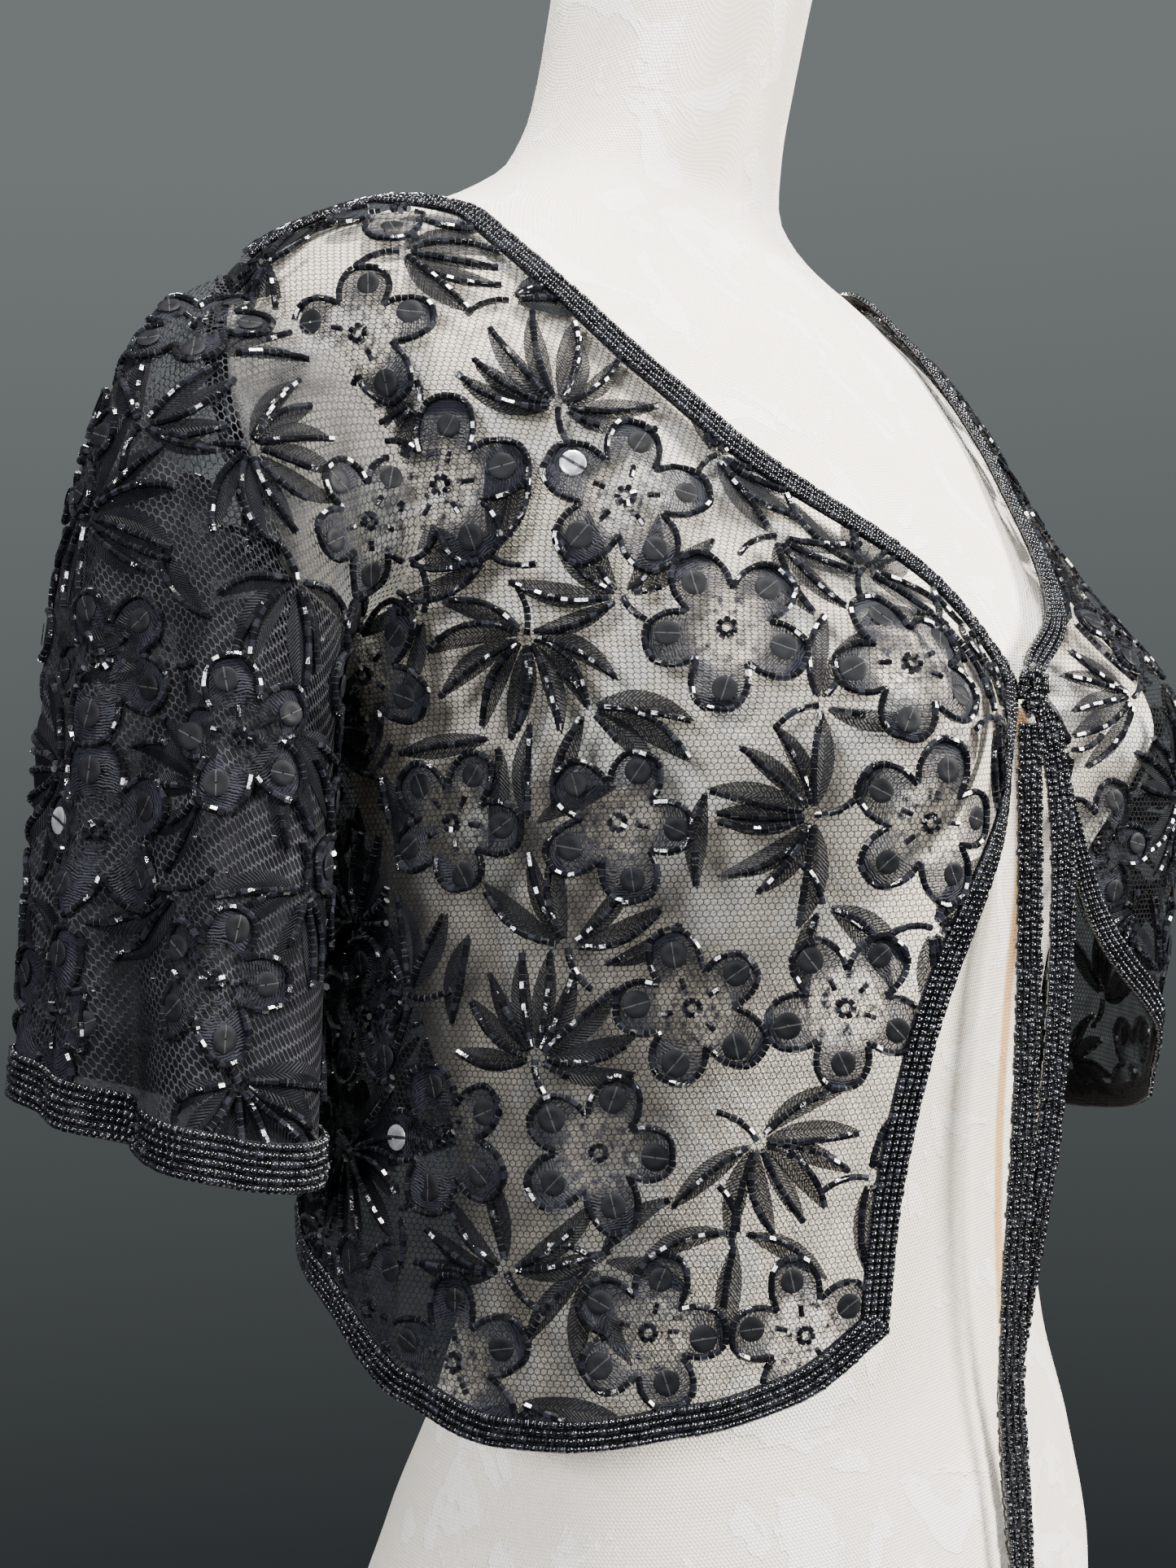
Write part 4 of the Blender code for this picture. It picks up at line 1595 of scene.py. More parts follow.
# Lowest and highest parameters of the lace that isn't placed by hand
FRONT_SPAN = {
    Side.RIGHT: ((-1.60, 0.22), (-0.10, 0.62)), Side.LEFT: ((0.10, 0.26), (1.60, 0.63)),
}
BACK_SPAN = ((1.50, 0.22), (4.78, 0.64))
SLEEVE_SPAN = {
    Side.RIGHT: ((-math.pi, 0.03), (-0.5, 0.96)), Side.LEFT: ((-math.pi, 0.03), (math.pi, 0.96)),
}


def front_panel(side: Side, body: BodyCloth) -> tuple[Panel, dict[str, Array]]:
    """A front, from its edge curves.

    Args:
        side: The wearer's side.
        body: The cloth round the body.

    Returns:
        The panel and its named edges.
    """
    edge = [(body_angle(x, z), z) for x, z in FRONT_EDGE[side]]
    neck_angle, neck_z = NECK_POINT[side]
    edge.append((math.radians(neck_angle), neck_z))
    first = path_read(edge, 151)
    hem = [edge[0]] + [(math.radians(angle), z) for angle, z in HEM[side]]
    low = path_read(hem, 76)
    seam = armhole(side, ARMHOLE_FRONT)
    last = path_read([hem[-1], *seam], 151)
    high = path_read([edge[-1], seam[-1]], 76)
    mirror = np.array([side.value, 1.0])
    edges = {"front": first * mirror, "hem": low * mirror, "armhole": last * mirror,
             "shoulder": high * mirror}
    panel = Panel(
        f"net_front_{side.word}", body, edges["hem"], edges["shoulder"], edges["front"],
        edges["armhole"], 0.0, *FRONT_CUT[side],
    )
    return panel, edges


def back_panel(body: BodyCloth) -> tuple[Panel, dict[str, Array]]:
    """The back, from the wearer's left round to the right.

    Args:
        body: The cloth round the body.

    Returns:
        The panel and its named edges.
    """
    turn = np.radians
    hem = path_read([(turn(a), z) for a, z in BACK_HEM], 141)
    arm_left = armhole(Side.LEFT, ARMHOLE_BACK)
    arm_right = [(2 * math.pi - a, z) for a, z in armhole(Side.RIGHT, ARMHOLE_BACK)]
    left = path_read([tuple(hem[0]), *arm_left], 111)
    right = path_read([tuple(hem[-1]), *arm_right], 111)
    neck = path_read([(turn(a), z) for a, z in BACK_NECK], 61)
    seam_left = np.linspace(arm_left[-1], neck[0], 41)
    seam_right = np.linspace(neck[-1], arm_right[-1], 41)
    high = np.concatenate([seam_left[:-1], neck, seam_right[1:]])
    edges = {"hem": hem, "neck": neck, "left": left, "right": right,
             "seam_left": seam_left, "seam_right": seam_right}
    panel = Panel("net_back", body, hem, high, left, right, math.pi, *BACK_CUT)
    return panel, edges


# Places of the lace, listed one by one. Right front: angle (+ is the wearer's left) and z.
# Right sleeve: turn and share of the way down, before the cap's crowding
RIGHT_FRONT_FLOWERS: Table = (
    (-73, 0.563), (-72.5, 0.513), (-48.5, 0.505), (-45, 0.461), (-28.5, 0.447),
    (-89.5, 0.455), (-81, 0.405), (-60, 0.403), (-29.5, 0.399), (-52, 0.345),
    (-37, 0.343), (-83, 0.305), (-61.5, 0.301), (-55, 0.245), (-38, 0.241),
)
RIGHT_FRONT_SPRAYS: Table = (
    (-68, 0.463), (-62.5, 0.439), (-41, 0.403), (-40, 0.375), (-69.5, 0.331),
    (-44.5, 0.303), (-95, 0.495), (-51, 0.535), (-73, 0.265), (-32.5, 0.519), (-24, 0.479),
    (-62, 0.590), (-66, 0.365), (-88, 0.350), (-46, 0.275), (-72, 0.225), (-18, 0.430),
)
RIGHT_SLEEVE_FLOWERS: Table = (
    (67, 0.11), (82, 0.575), (83, 0.74), (103, 0.91), (43, 0.45), (24, 0.59), (22, 0.725),
    (34, 0.83), (68, 0.91), (110, 0.30), (128, 0.62), (150, 0.45), (146, 0.84), (180, 0.68),
    (-160, 0.88), (-120, 0.60), (-90, 0.85), (-50, 0.62), (-20, 0.86),
)
RIGHT_SLEEVE_SPRAYS: Table = (
    (94, 0.425), (100, 0.49), (72, 0.29), (28, 0.26), (2, 0.37), (2, 0.55), (-7, 0.71),
    (38, 0.66), (60, 0.42), (48, 0.76),
    (21, 0.91), (37, 0.95), (9, 0.95), (60, 0.55), (64, 0.72), (104, 0.68), (120, 0.80),
    (50, 0.16), (90, 0.20), (132, 0.40), (160, 0.60), (165, 0.90), (-140, 0.72), (-60, 0.80),
)
CAP_CROWD = 1.35


def sleeve_places(table: Table) -> Array:
    """Places of a sleeve table.

    Args:
        table: Turns in degrees, and shares of the way down before the crowding.

    Returns:
        Turns in radians, and shares of the way down.
    """
    rows = np.array(table, float)
    return np.stack([np.radians(rows[:, 0]), rows[:, 1] ** CAP_CROWD], axis=-1)


@dataclass
class Sleeve:
    """A flared sleeve: its net, lace and the beaded band at its hem."""

    side: Side
    body: BodyCloth
    flat: tuple[float, float]
    area: float
    around: int = 132
    down: int = 84
    hem_steps: int = 360
    band: float = 0.0152
    seam: float = 0.004

    def __post_init__(self) -> None:
        """Finds the sleeve's surface and its edges."""
        self.cloth = SleeveCloth(SLEEVE_SHAPES[self.side], self.body)
        turn = np.linspace(-math.pi, math.pi, self.hem_steps + 1)[:-1]
        self.hem = np.stack([turn, np.ones(self.hem_steps)], axis=1)
        hem_line, cap_line = (self.cloth.lifted(turn, turn * 0 + end)[0] for end in (1.0, 0.0))
        self.patch = Patch(
            self.cloth, None, [hem_line], [cap_line], band=self.band, seam=self.seam
        )

    def net(self) -> bpy.types.Object:
        """The net, laid out in metres for its mesh.

        Returns:
            The object.
        """
        name = f"net_sleeve_{self.side.word}"
        turn = np.linspace(-math.pi, math.pi, self.around + 1)
        share = np.linspace(0.0, 1.0, self.down) ** CAP_CROWD
        a, b = np.meshgrid(turn, share)
        points = self.cloth.lifted(a.ravel(), b.ravel())[0].reshape(self.down, -1, 3)
        points = points[:, :-1].reshape(-1, 3)
        drawn = self.cloth.flat(a.ravel(), b.ravel(), 0.0, 0.0)
        joined = grid_faces(self.down, self.around, wrap=True)
        report_cut(name, points, joined, drawn)
        uv = drawn[grid_faces(self.down, self.around + 1)].reshape(-1, 2)
        return mesh_piece(name, points, joined, uv)


# Closure and ties


@dataclass(frozen=True)
class TieShape:
    """Route of a tie: z, x, y and turn in degrees, from its top down."""

    side: Side
    route: Table
    flat: tuple[float, float]


TIE_TOP = 0.4307
TIES = (
    TieShape(Side.RIGHT, (
        (TIE_TOP, -0.0035, -0.1405, -40), (0.395, -0.0055, -0.1395, -45),
        (0.350, -0.0065, -0.1375, -45), (0.290, -0.0075, -0.1330, -46),
        (0.235, -0.0080, -0.1270, -52), (0.190, -0.0075, -0.1235, -60),
        (0.150, -0.0070, -0.1240, -52), (0.110, -0.0075, -0.1245, -40),
        (0.074, -0.0080, -0.1245, -32),
    ), (0.010, 0.358)),
    TieShape(Side.LEFT, (
        (TIE_TOP, 0.0050, -0.1435, -40), (0.395, 0.0045, -0.1470, -45),
        (0.350, 0.0035, -0.1450, -45), (0.290, 0.0015, -0.1385, -50),
        (0.235, 0.0005, -0.1270, -60), (0.190, 0.0005, -0.1185, -50),
        (0.150, 0.0010, -0.1180, -30), (0.110, 0.0030, -0.1195, -22),
        (0.082, 0.0045, -0.1200, -18),
    ), (0.010, 0.352)),
)


@dataclass
class Tie:
    """A flat tie of four bead rows woven side by side.

    The spacing, fill and shortest are in bead lengths. Start, slack and turned are
    the small differences from bead to bead.
    """

    shape: TieShape
    width: float = 0.0095
    rows: int = 4
    steps: int = 160
    tape: tuple[float, ...] = (-0.46, 0.0, 0.46)
    spacing: float = 1.05
    fill: float = 0.93
    shortest: float = 0.5
    start: float = 0.3
    slack: float = 0.00022
    turned: float = 0.0001

    def build(self, finishes: "Finishes", rng: np.random.Generator) -> None:
        """Makes the tie's tape and its beads.

        Args:
            finishes: The materials.
            rng: Source of the small differences.
        """
        name = f"tie_{self.shape.side.word}"
        rows = np.array(sorted(self.shape.route))
        heights = np.linspace(rows[-1, 0], rows[0, 0], self.steps)
        x, y, turn = np.moveaxis(smooth_read(rows, heights), -1, 0)
        turn = np.radians(turn)
        across = np.stack([np.cos(turn), np.sin(turn), 0 * turn], axis=-1)
        middle = np.stack([x, y, heights], axis=-1)
        outward = np.stack([np.sin(turn), -np.cos(turn), 0 * turn], axis=-1)
        offsets = (np.arange(self.rows) + 0.5) / self.rows - 0.5
        work = BeadWork(rng)
        for off in offsets:
            line = np.concatenate([middle + across * off * self.width, outward], axis=1)
            run = run_along(line[:, :3])
            pieces = round(run[-1] / (CUT.length * self.spacing))
            start = rng.uniform(-self.start, self.start)
            marks = (np.arange(pieces + 1) + start) * run[-1] / pieces
            ends, spots, gap = line_pieces(line, run, marks)
            length = np.linalg.norm(gap, axis=1) * self.fill
            spots = spots[:, :3] + rng.normal(0.0, self.slack, gap.shape)
            full = length > CUT.length * self.shortest
            along = unit(gap + rng.normal(0.0, self.turned, gap.shape))
            work.add(CUT, spots[full], along[full], ends[:-1, 3:6][full], length[full])
        beads = work.build(f"{name}_beads")
        edges = np.array(self.tape)
        grid = np.stack([middle + across * edge * self.width for edge in edges], axis=1)
        faces = grid_faces(self.steps, len(edges))
        run = run_along(middle)
        drawn = np.stack(np.broadcast_arrays(edges[None] * self.width, run[:, None]), -1)
        uv = drawn.reshape(-1, 2)[faces].reshape(-1, 2)
        tape = mesh_piece(f"{name}_tape", grid.reshape(-1, 3), faces, uv)
        finish_piece(beads, finishes.glass)
        finish_piece(tape, finishes.tape, (name,))


@dataclass
class Closure:
    """The gathered bunch of beads that joins the fronts."""

    middle: tuple[float, float, float] = (0.0, -0.1407, 0.442)
    half: tuple[float, float, float] = (0.0088, 0.0042, 0.0105)
    count: int = 90
    highest: float = 0.95
    depths: tuple[float, float] = (0.72, 0.90)
    upright: float = 0.6
    lengths: tuple[float, float] = (0.0020, 0.0030)

    def build(self, finishes: "Finishes", rng: np.random.Generator) -> None:
        """Makes the bunch.

        Args:
            finishes: The materials.
            rng: Source of the beads' places.
        """
        work = BeadWork(rng)
        turn = rng.uniform(0.0, 2 * math.pi, self.count)
        level = rng.uniform(-self.highest, self.highest, self.count)
        ring = np.sqrt(1.0 - level**2)
        away = np.stack([ring * np.cos(turn), ring * np.sin(turn), level], axis=-1)
        inner = rng.uniform(*self.depths, (self.count, 1))
        spots = np.array(self.middle) + away * np.array(self.half) * inner
        around = np.cross(away, rng.normal(0.0, 1.0, away.shape))
        along = unit(around + np.array([0.0, 0.0, self.upright]))
        length = rng.uniform(*self.lengths, self.count)
        work.add(CUT, spots, along, unit(away), length)
        beads = work.build("closure_beads")
        finish_piece(beads, finishes.glass, ("closure_knot",))


# The form


@dataclass
class DressForm:
    """The limbless form that the shrug rests on."""

    skin: FormSkin = field(default_factory=FormSkin)
    around: int = 168
    step: float = 0.0055
    caps: tuple[float, ...] = (0.7, 0.35, 0.02)

    def build(self, finishes: "Finishes") -> bpy.types.Object:
        """Makes the closed form.

        Args:
            finishes: The materials.

        Returns:
            The object.
        """
        knots = [row[0] for row in FORM_SECTIONS]
        levels = np.concatenate([
            np.linspace(low, high, max(2, round((high - low) / self.step)) + 1)[:-1]
            for low, high in zip(knots, knots[1:])
        ] + [[knots[-1]]])
        angle = np.linspace(-math.pi, math.pi, self.around + 1)
        a, b = np.meshgrid(angle, levels)
        points = self.skin.bare(a.ravel(), b.ravel()).reshape(len(levels), -1, 3)
        drawn = self.skin.flat(a.ravel(), b.ravel(), 0.0, 0.0).reshape(len(levels), -1, 2)
        for _ in range(2):
            centre = points[-1].mean(axis=0)
            rings = [centre + (points[-1] - centre) * share for share in self.caps]
            flat = [drawn[-1] * share for share in self.caps]
            points = np.concatenate([points, rings])[::-1]
            drawn = np.concatenate([drawn, flat])[::-1]
        rows = len(points)
        corners = grid_faces(rows, self.around + 1)
        joined = grid_faces(rows, self.around, wrap=True)
        uv = drawn.reshape(-1, 2)[corners].reshape(-1, 2)
        piece = mesh_piece("form_body", points[:, :-1].reshape(-1, 3), joined, uv)
        return finish_piece(piece, finishes.cover, ("dress_form",))


# Shader groups and finishes

Socket = bpy.types.NodeSocket
Tree = bpy.types.NodeTree
Colour = tuple[float, float, float]
Feed = dict
FLOAT = "NodeSocketFloat"
VECTOR = "NodeSocketVector"
HALF_CELL = (0.5, math.sqrt(3.0) / 2, 0.5)
THREAD_EDGE = 0.49
NOISE_SPAN = (0.3, 0.7)


def add_node(
    tree: Tree, kind: str, feeds: Feed | None = None, **settings: object
) -> bpy.types.Node:
    """Adds a node, sets it and joins its inputs.

    Args:
        tree: The node tree.
        kind: The node's type.
        feeds: A socket or a value for each input, by number or name.
        **settings: The node's own settings.

    Returns:
        The node.
    """
    made = tree.nodes.new(kind)
    for key, value in settings.items():
        setattr(made, key, value)
    for key, value in (feeds or {}).items():
        if isinstance(value, Socket):
            tree.links.new(value, made.inputs[key])
        else:
            made.inputs[key].default_value = value
    return made


def compute(tree: Tree, operation: str, *values: Socket | float) -> Socket:
    """The result of a math node."""
    return add_node(tree, "ShaderNodeMath", dict(enumerate(values)), operation=operation).outputs[0]


def vector(tree: Tree, operation: str, *values: Socket | tuple[float, ...]) -> Socket:
    """The result of a vector math node: a vector, or a value where it gives one."""
    made = add_node(tree, "ShaderNodeVectorMath", dict(enumerate(values)), operation=operation)
    return made.outputs["Value" if operation in ("LENGTH", "DOT_PRODUCT") else "Vector"]


def spread(
    tree: Tree, value: Socket, low: Socket | float = 0.0, high: float = 1.0,
    start: Socket | float = 0.0, end: Socket | float = 1.0, smooth: bool = False,
) -> Socket:
    """Carries a value from one range to another.

    Args:
        tree: The node tree.
        value: The value.
        low: Where the first range begins.
        high: Where it ends.
        start: What the value is at `low` and below.
        end: What it is at `high` and above.
        smooth: Whether it eases in and out.

    Returns:
        The new value.
    """
    feeds = {0: value, 1: low, 2: high, 3: start, 4: end}
    kind = "SMOOTHSTEP" if smooth else "LINEAR"
    return add_node(tree, "ShaderNodeMapRange", feeds, interpolation_type=kind).outputs[0]


def start_group(
    name: str, inputs: tuple[tuple[str, str, float], ...], outputs: tuple[str, ...]
) -> tuple[Tree, bpy.types.Node, bpy.types.Node]:
    """Starts a shader node group.

    Args:
        name: The group's name.
        inputs: Name, kind and first value of each input; a vector has no value.
        outputs: Name of each output, a value.

    Returns:
        The group, its input node and its output node.
    """
    tree = bpy.data.node_groups.new(name, "ShaderNodeTree")
    for label, kind, value in inputs:
        socket = tree.interface.new_socket(label, in_out="INPUT", socket_type=kind)
        if kind == FLOAT:
            socket.default_value = value
    for label in outputs:
        tree.interface.new_socket(label, in_out="OUTPUT", socket_type=FLOAT)
    return tree, tree.nodes.new("NodeGroupInput"), tree.nodes.new("NodeGroupOutput")


class Effects:
    """Shader node groups that the finishes share."""

    def __init__(self) -> None:
        """Builds each group once."""
        self.net = self.hexagonal_net()
        self.ribs = self.ribbing()
        self.uneven = self.unevenness()

    @staticmethod
    def hexagonal_net() -> Tree:
        """Threads of a net with six-sided holes, from places in metres.

        Returns:
            The group.
        """
        tree, given, out = start_group(
            "hexagonal_net",
            (("Place", VECTOR, 0), ("Cell", FLOAT, 0.002), ("Thread", FLOAT, 0.12)),
            ("Mask", "Height"),
        )
        size = compute(tree, "DIVIDE", 1.0, given.outputs["Cell"])
        feeds = {0: given.outputs["Place"], "Scale": size}
        cells = add_node(tree, "ShaderNodeVectorMath", feeds, operation="SCALE").outputs[0]
        low = tuple(-value for value in HALF_CELL)
        flats = []
        for start in (cells, vector(tree, "SUBTRACT", cells, HALF_CELL)):
            cell = vector(tree, "WRAP", start, HALF_CELL, low)
            flat = vector(tree, "MULTIPLY", cell, (1.0, 1.0, 0.0))
            flats.append((flat, vector(tree, "LENGTH", flat)))
        (first, first_size), (second, second_size) = flats
        nearer = compute(tree, "LESS_THAN", first_size, second_size)
        feeds = {0: nearer, 4: second, 5: first}
        chosen = add_node(tree, "ShaderNodeMix", feeds, data_type="VECTOR")
        place = vector(tree, "ABSOLUTE", chosen.outputs[1])
        slanted = vector(tree, "DOT_PRODUCT", place, (*HALF_CELL[:2], 0.0))
        parts = add_node(tree, "ShaderNodeSeparateXYZ", {0: place}).outputs
        edge = compute(tree, "MAXIMUM", slanted, parts[0])
        inner = compute(tree, "SUBTRACT", 0.5, given.outputs["Thread"])
        mask = spread(tree, edge, inner, THREAD_EDGE, smooth=True)
        for output in ("Mask", "Height"):
            tree.links.new(mask, out.inputs[output])
        return tree

    @staticmethod
    def ribbing() -> Tree:
        """Fine ribs along a distance in metres.

        Returns:
            The group.
        """
        tree, given, out = start_group(
            "ribbing", (("Along", FLOAT, 0.0), ("Pitch", FLOAT, 0.001)), ("Rib",)
        )
        turns = compute(tree, "DIVIDE", given.outputs["Along"], given.outputs["Pitch"])
        wave = compute(tree, "SINE", compute(tree, "MULTIPLY", turns, 2 * math.pi))
        tree.links.new(spread(tree, wave, -1.0, 1.0), out.inputs["Rib"])
        return tree

    @staticmethod
    def unevenness() -> Tree:
        """A value that wanders between two values over the surface.

        Returns:
            The group.
        """
        inputs = (
            ("Place", VECTOR, 0), ("Scale", FLOAT, 60.0), ("Low", FLOAT, 0.0), ("High", FLOAT, 1.0),
        )
        tree, given, out = start_group("unevenness", inputs, ("Value",))
        feeds = {"Vector": given.outputs["Place"], "Scale": given.outputs["Scale"], "Detail": 3.0}
        noise = add_node(tree, "ShaderNodeTexNoise", feeds).outputs[0]
        value = spread(tree, noise, *NOISE_SPAN, given.outputs["Low"], given.outputs["High"])
        tree.links.new(value, out.inputs["Value"])
        return tree


class Finish:
    """A material and its shader, with short ways to add to it."""

    def __init__(self, name: str, base: Colour, roughness: float, effects: Effects) -> None:
        """Makes the material and its shader.

        Args:
            name: The material's name.
            base: Its plain colour.
            roughness: Its plain roughness.
            effects: The shared groups.
        """
        self.effects = effects
        self.material = bpy.data.materials.new(name)
        self.material.use_nodes = True
        self.tree = self.material.node_tree
        self.shader = self.tree.nodes["Principled BSDF"]
        self.set("Base Color", (*base, 1.0))
        self.set("Roughness", roughness)
        self.uv = self.add("ShaderNodeUVMap", uv_map=CLOTH_UV).outputs[0]
        self.place = self.add("ShaderNodeTexCoord").outputs["Object"]

    def add(self, kind: str, feeds: Feed | None = None, **settings: object) -> bpy.types.Node:
        """Adds a node to the material."""
        return add_node(self.tree, kind, feeds, **settings)

    def parts(self, value: Socket) -> bpy.types.bpy_prop_collection:
        """The three parts of a vector."""
        return self.add("ShaderNodeSeparateXYZ", {0: value}).outputs

    def math(self, operation: str, *values: Socket | float) -> Socket:
        """The result of a math node."""
        return compute(self.tree, operation, *values)

    def net(self, cell: float, thread: float) -> bpy.types.bpy_prop_collection:
        """The mask and height of the net, over the flat cloth."""
        feeds = {"Place": self.uv, "Cell": cell, "Thread": thread}
        return self.add("ShaderNodeGroup", feeds, node_tree=self.effects.net).outputs

    def rib(self, along: Socket, pitch: float) -> Socket:
        """Ribs along a distance."""
        feeds = {"Along": along, "Pitch": pitch}
        return self.add("ShaderNodeGroup", feeds, node_tree=self.effects.ribs).outputs[0]

    def wander(self, scale: float, low: float = 0.0, high: float = 1.0) -> Socket:
        """A value that wanders between two others over the surface."""
        feeds = {"Place": self.place, "Scale": scale, "Low": low, "High": high}
        return self.add("ShaderNodeGroup", feeds, node_tree=self.effects.uneven).outputs[0]

    def set(self, socket: str, value: Socket | float | tuple[float, ...]) -> None:
        """Sets a socket of the shader, or feeds it.

        Args:
            socket: The socket's name.
            value: What it is set to, or what feeds it.
        """
        if isinstance(value, Socket):
            self.tree.links.new(value, self.shader.inputs[socket])
        else:
            self.shader.inputs[socket].default_value = value

    def blend(self, share: Socket, low: Colour | Socket, high: Colour | Socket) -> Socket:
        """A colour between two, by a share."""
        low, high = (end if isinstance(end, Socket) else (*end, 1.0) for end in (low, high))
        return self.add("ShaderNodeMix", {0: share, 6: low, 7: high}, data_type="RGBA").outputs[2]

    def between(self, value: Socket, low: float, high: float) -> Socket:
        """A value from 0 to 1 spread between two others."""
        return spread(self.tree, value, start=low, end=high)

    def bump(self, height: Socket, distance: float) -> None:
        """Feeds the shader's normal from a height."""
        node = self.add("ShaderNodeBump", {"Height": height, "Distance": distance})
        self.set("Normal", node.outputs[0])


@dataclass(frozen=True)
class NetFinish:
    """Fine black net whose holes fill with painted shade toward the sides of the body and lower
    down.

    Nearness to a side is the distance from the middle, plus a share of the depth and of the
    height below the shoulder.
    """

    name: str = "black_net"
    cell: float = 0.0021
    thread: float = 0.137
    dark: Colour = (0.003, 0.003, 0.004)
    light: Colour = (0.008, 0.0083, 0.0108)
    # Alpha of the holes away from the sides and at the sides: painted shade
    middle_shade_alpha: float = 0.0
    side_shade_alpha: float = 0.46
    thread_alpha: float = 0.96
    side_low: float = 0.130
    side_high: float = 0.200
    depth_share: float = 0.0
    drop_share: float = 0.80
    shoulder: float = 0.42
    patchy: float = 0.16
    patch_depth: float = 3.0
    patch_scale: float = 160.0
    tone_scale: float = 45.0
    gloss: float = 0.12
    relief: float = 0.0002

    def build(self, effects: Effects) -> bpy.types.Material:
        """Makes the material.

        Args:
            effects: The shared groups.

        Returns:
            The material.
        """
        f = Finish(self.name, self.dark, 0.7, effects)
        net = f.net(self.cell, self.thread)
        # Threads lighter in wandering patches: random tone, and with the sleeves' pale colour a
        # painted sheen
        tone_and_sheen = f.math("MULTIPLY", f.wander(self.tone_scale), net["Mask"])
        f.set("Base Color", f.blend(tone_and_sheen, self.dark, self.light))
        x, y, z = f.parts(f.place)
        near = f.math("MULTIPLY_ADD", y, self.depth_share, f.math("ABSOLUTE", x))
        drop = f.math("SUBTRACT", self.shoulder, z)
        near = f.math("MULTIPLY_ADD", drop, self.drop_share, near)
        # Painted shade: the holes darken toward the sides and lower down, where shade falls
        closed = spread(
            f.tree, near, self.side_low, self.side_high, self.middle_shade_alpha, self.side_shade_alpha, True
        )
        thinnest = 1.0 - self.patch_depth * self.patchy
        patch = f.wander(self.patch_scale, thinnest, 1.0 + self.patchy)
        f.set("Alpha", f.between(net["Mask"], f.math("MULTIPLY", closed, patch), self.thread_alpha))
        f.set("Specular IOR Level", self.gloss)
        f.bump(net["Height"], self.relief)
        return f.material


@dataclass(frozen=True)
class PetalFinish:
    """Charcoal satin stitch of the petals, in lace round their eye; its wandering lighter bluish
    tone is partly random and partly painted sheen.
    """

    dark: Colour = (0.0020, 0.0023, 0.0034)
    light: Colour = (0.0125, 0.0137, 0.0205)
    pitch: float = 0.0009
    sway: float = 0.0011
    sway_scale: float = 220.0
    tone_low: float = -0.2
    tone_scale: float = 90.0
    rib_share: float = 0.65
    eye: float = 0.0080
    fill: float = 0.0155
    rim: float = 0.0240
    lace: tuple[float, float] = (-1.0, 1.1)
    lace_scale: float = 330.0
    sheer: tuple[float, float] = (0.62, 0.95)
    rough: tuple[float, float] = (0.55, 0.75)
    gloss: float = 0.14
    crinkle: float = 4.0
    crinkle_scale: float = 170.0
    relief: float = 0.00030

    def build(self, effects: Effects) -> bpy.types.Material:
        """Makes the material.

        Args:
            effects: The shared groups.

        Returns:
            The material.
        """
        f = Finish("petal_stitch", self.light, 0.5, effects)
        reach = vector(f.tree, "LENGTH", f.uv)
        swaying = f.math("ADD", reach, f.wander(self.sway_scale, high=self.sway))
        rib = f.rib(swaying, self.pitch)
        # Wandering tone: partly random, partly painted sheen on the satin
        tone = f.wander(self.tone_scale, low=self.tone_low)
        share = f.math("MULTIPLY_ADD", rib, self.rib_share, tone)
        f.set("Base Color", f.blend(share, self.dark, self.light))
        filled = spread(f.tree, reach, self.eye, self.fill, smooth=True)
        rim = spread(f.tree, reach, self.fill, self.rim, smooth=True)
        lacy = f.wander(self.lace_scale, *self.lace)
        cover = f.math("MAXIMUM", rim, f.between(rib, *self.sheer))
        alpha = f.add("ShaderNodeMix", {0: filled, 2: lacy, 3: cover}, data_type="FLOAT").outputs[0]
        f.set("Alpha", f.add("ShaderNodeClamp", {0: alpha}).outputs[0])
        f.set("Roughness", f.between(tone, *self.rough))
        f.set("Specular IOR Level", self.gloss)
        crinkled = f.math("MULTIPLY_ADD", f.wander(self.crinkle_scale), self.crinkle, rib)
        f.bump(crinkled, self.relief)
        return f.material


@dataclass(frozen=True)
class LeafFinish:
    """Sheer ribbed leaves, slanted from their midribs."""

    dark: Colour = (0.0018, 0.002, 0.003)
    light: Colour = (0.0065, 0.007, 0.0092)
    pitch: float = 0.0012
    slant: float = -1.1
    tone_low: float = -0.1
    tone_scale: float = 120.0
    sheer: tuple[float, float] = (0.78, 0.98)
    gloss: float = 0.10
    relief: float = 0.0003

    def build(self, effects: Effects) -> bpy.types.Material:
        """Makes the material.

        Args:
            effects: The shared groups.

        Returns:
            The material.
        """
        f = Finish("leaf_stitch", self.light, 0.5, effects)
        along, wide, _ = f.parts(f.uv)
        slanted = f.math("MULTIPLY_ADD", f.math("ABSOLUTE", wide), self.slant, along)
        rib = f.rib(slanted, self.pitch)
        tone = f.wander(self.tone_scale, low=self.tone_low)
        f.set("Base Color", f.blend(tone, self.dark, self.light))
        f.set("Alpha", f.between(rib, *self.sheer))
        f.set("Specular IOR Level", self.gloss)
        f.bump(rib, self.relief)
        return f.material


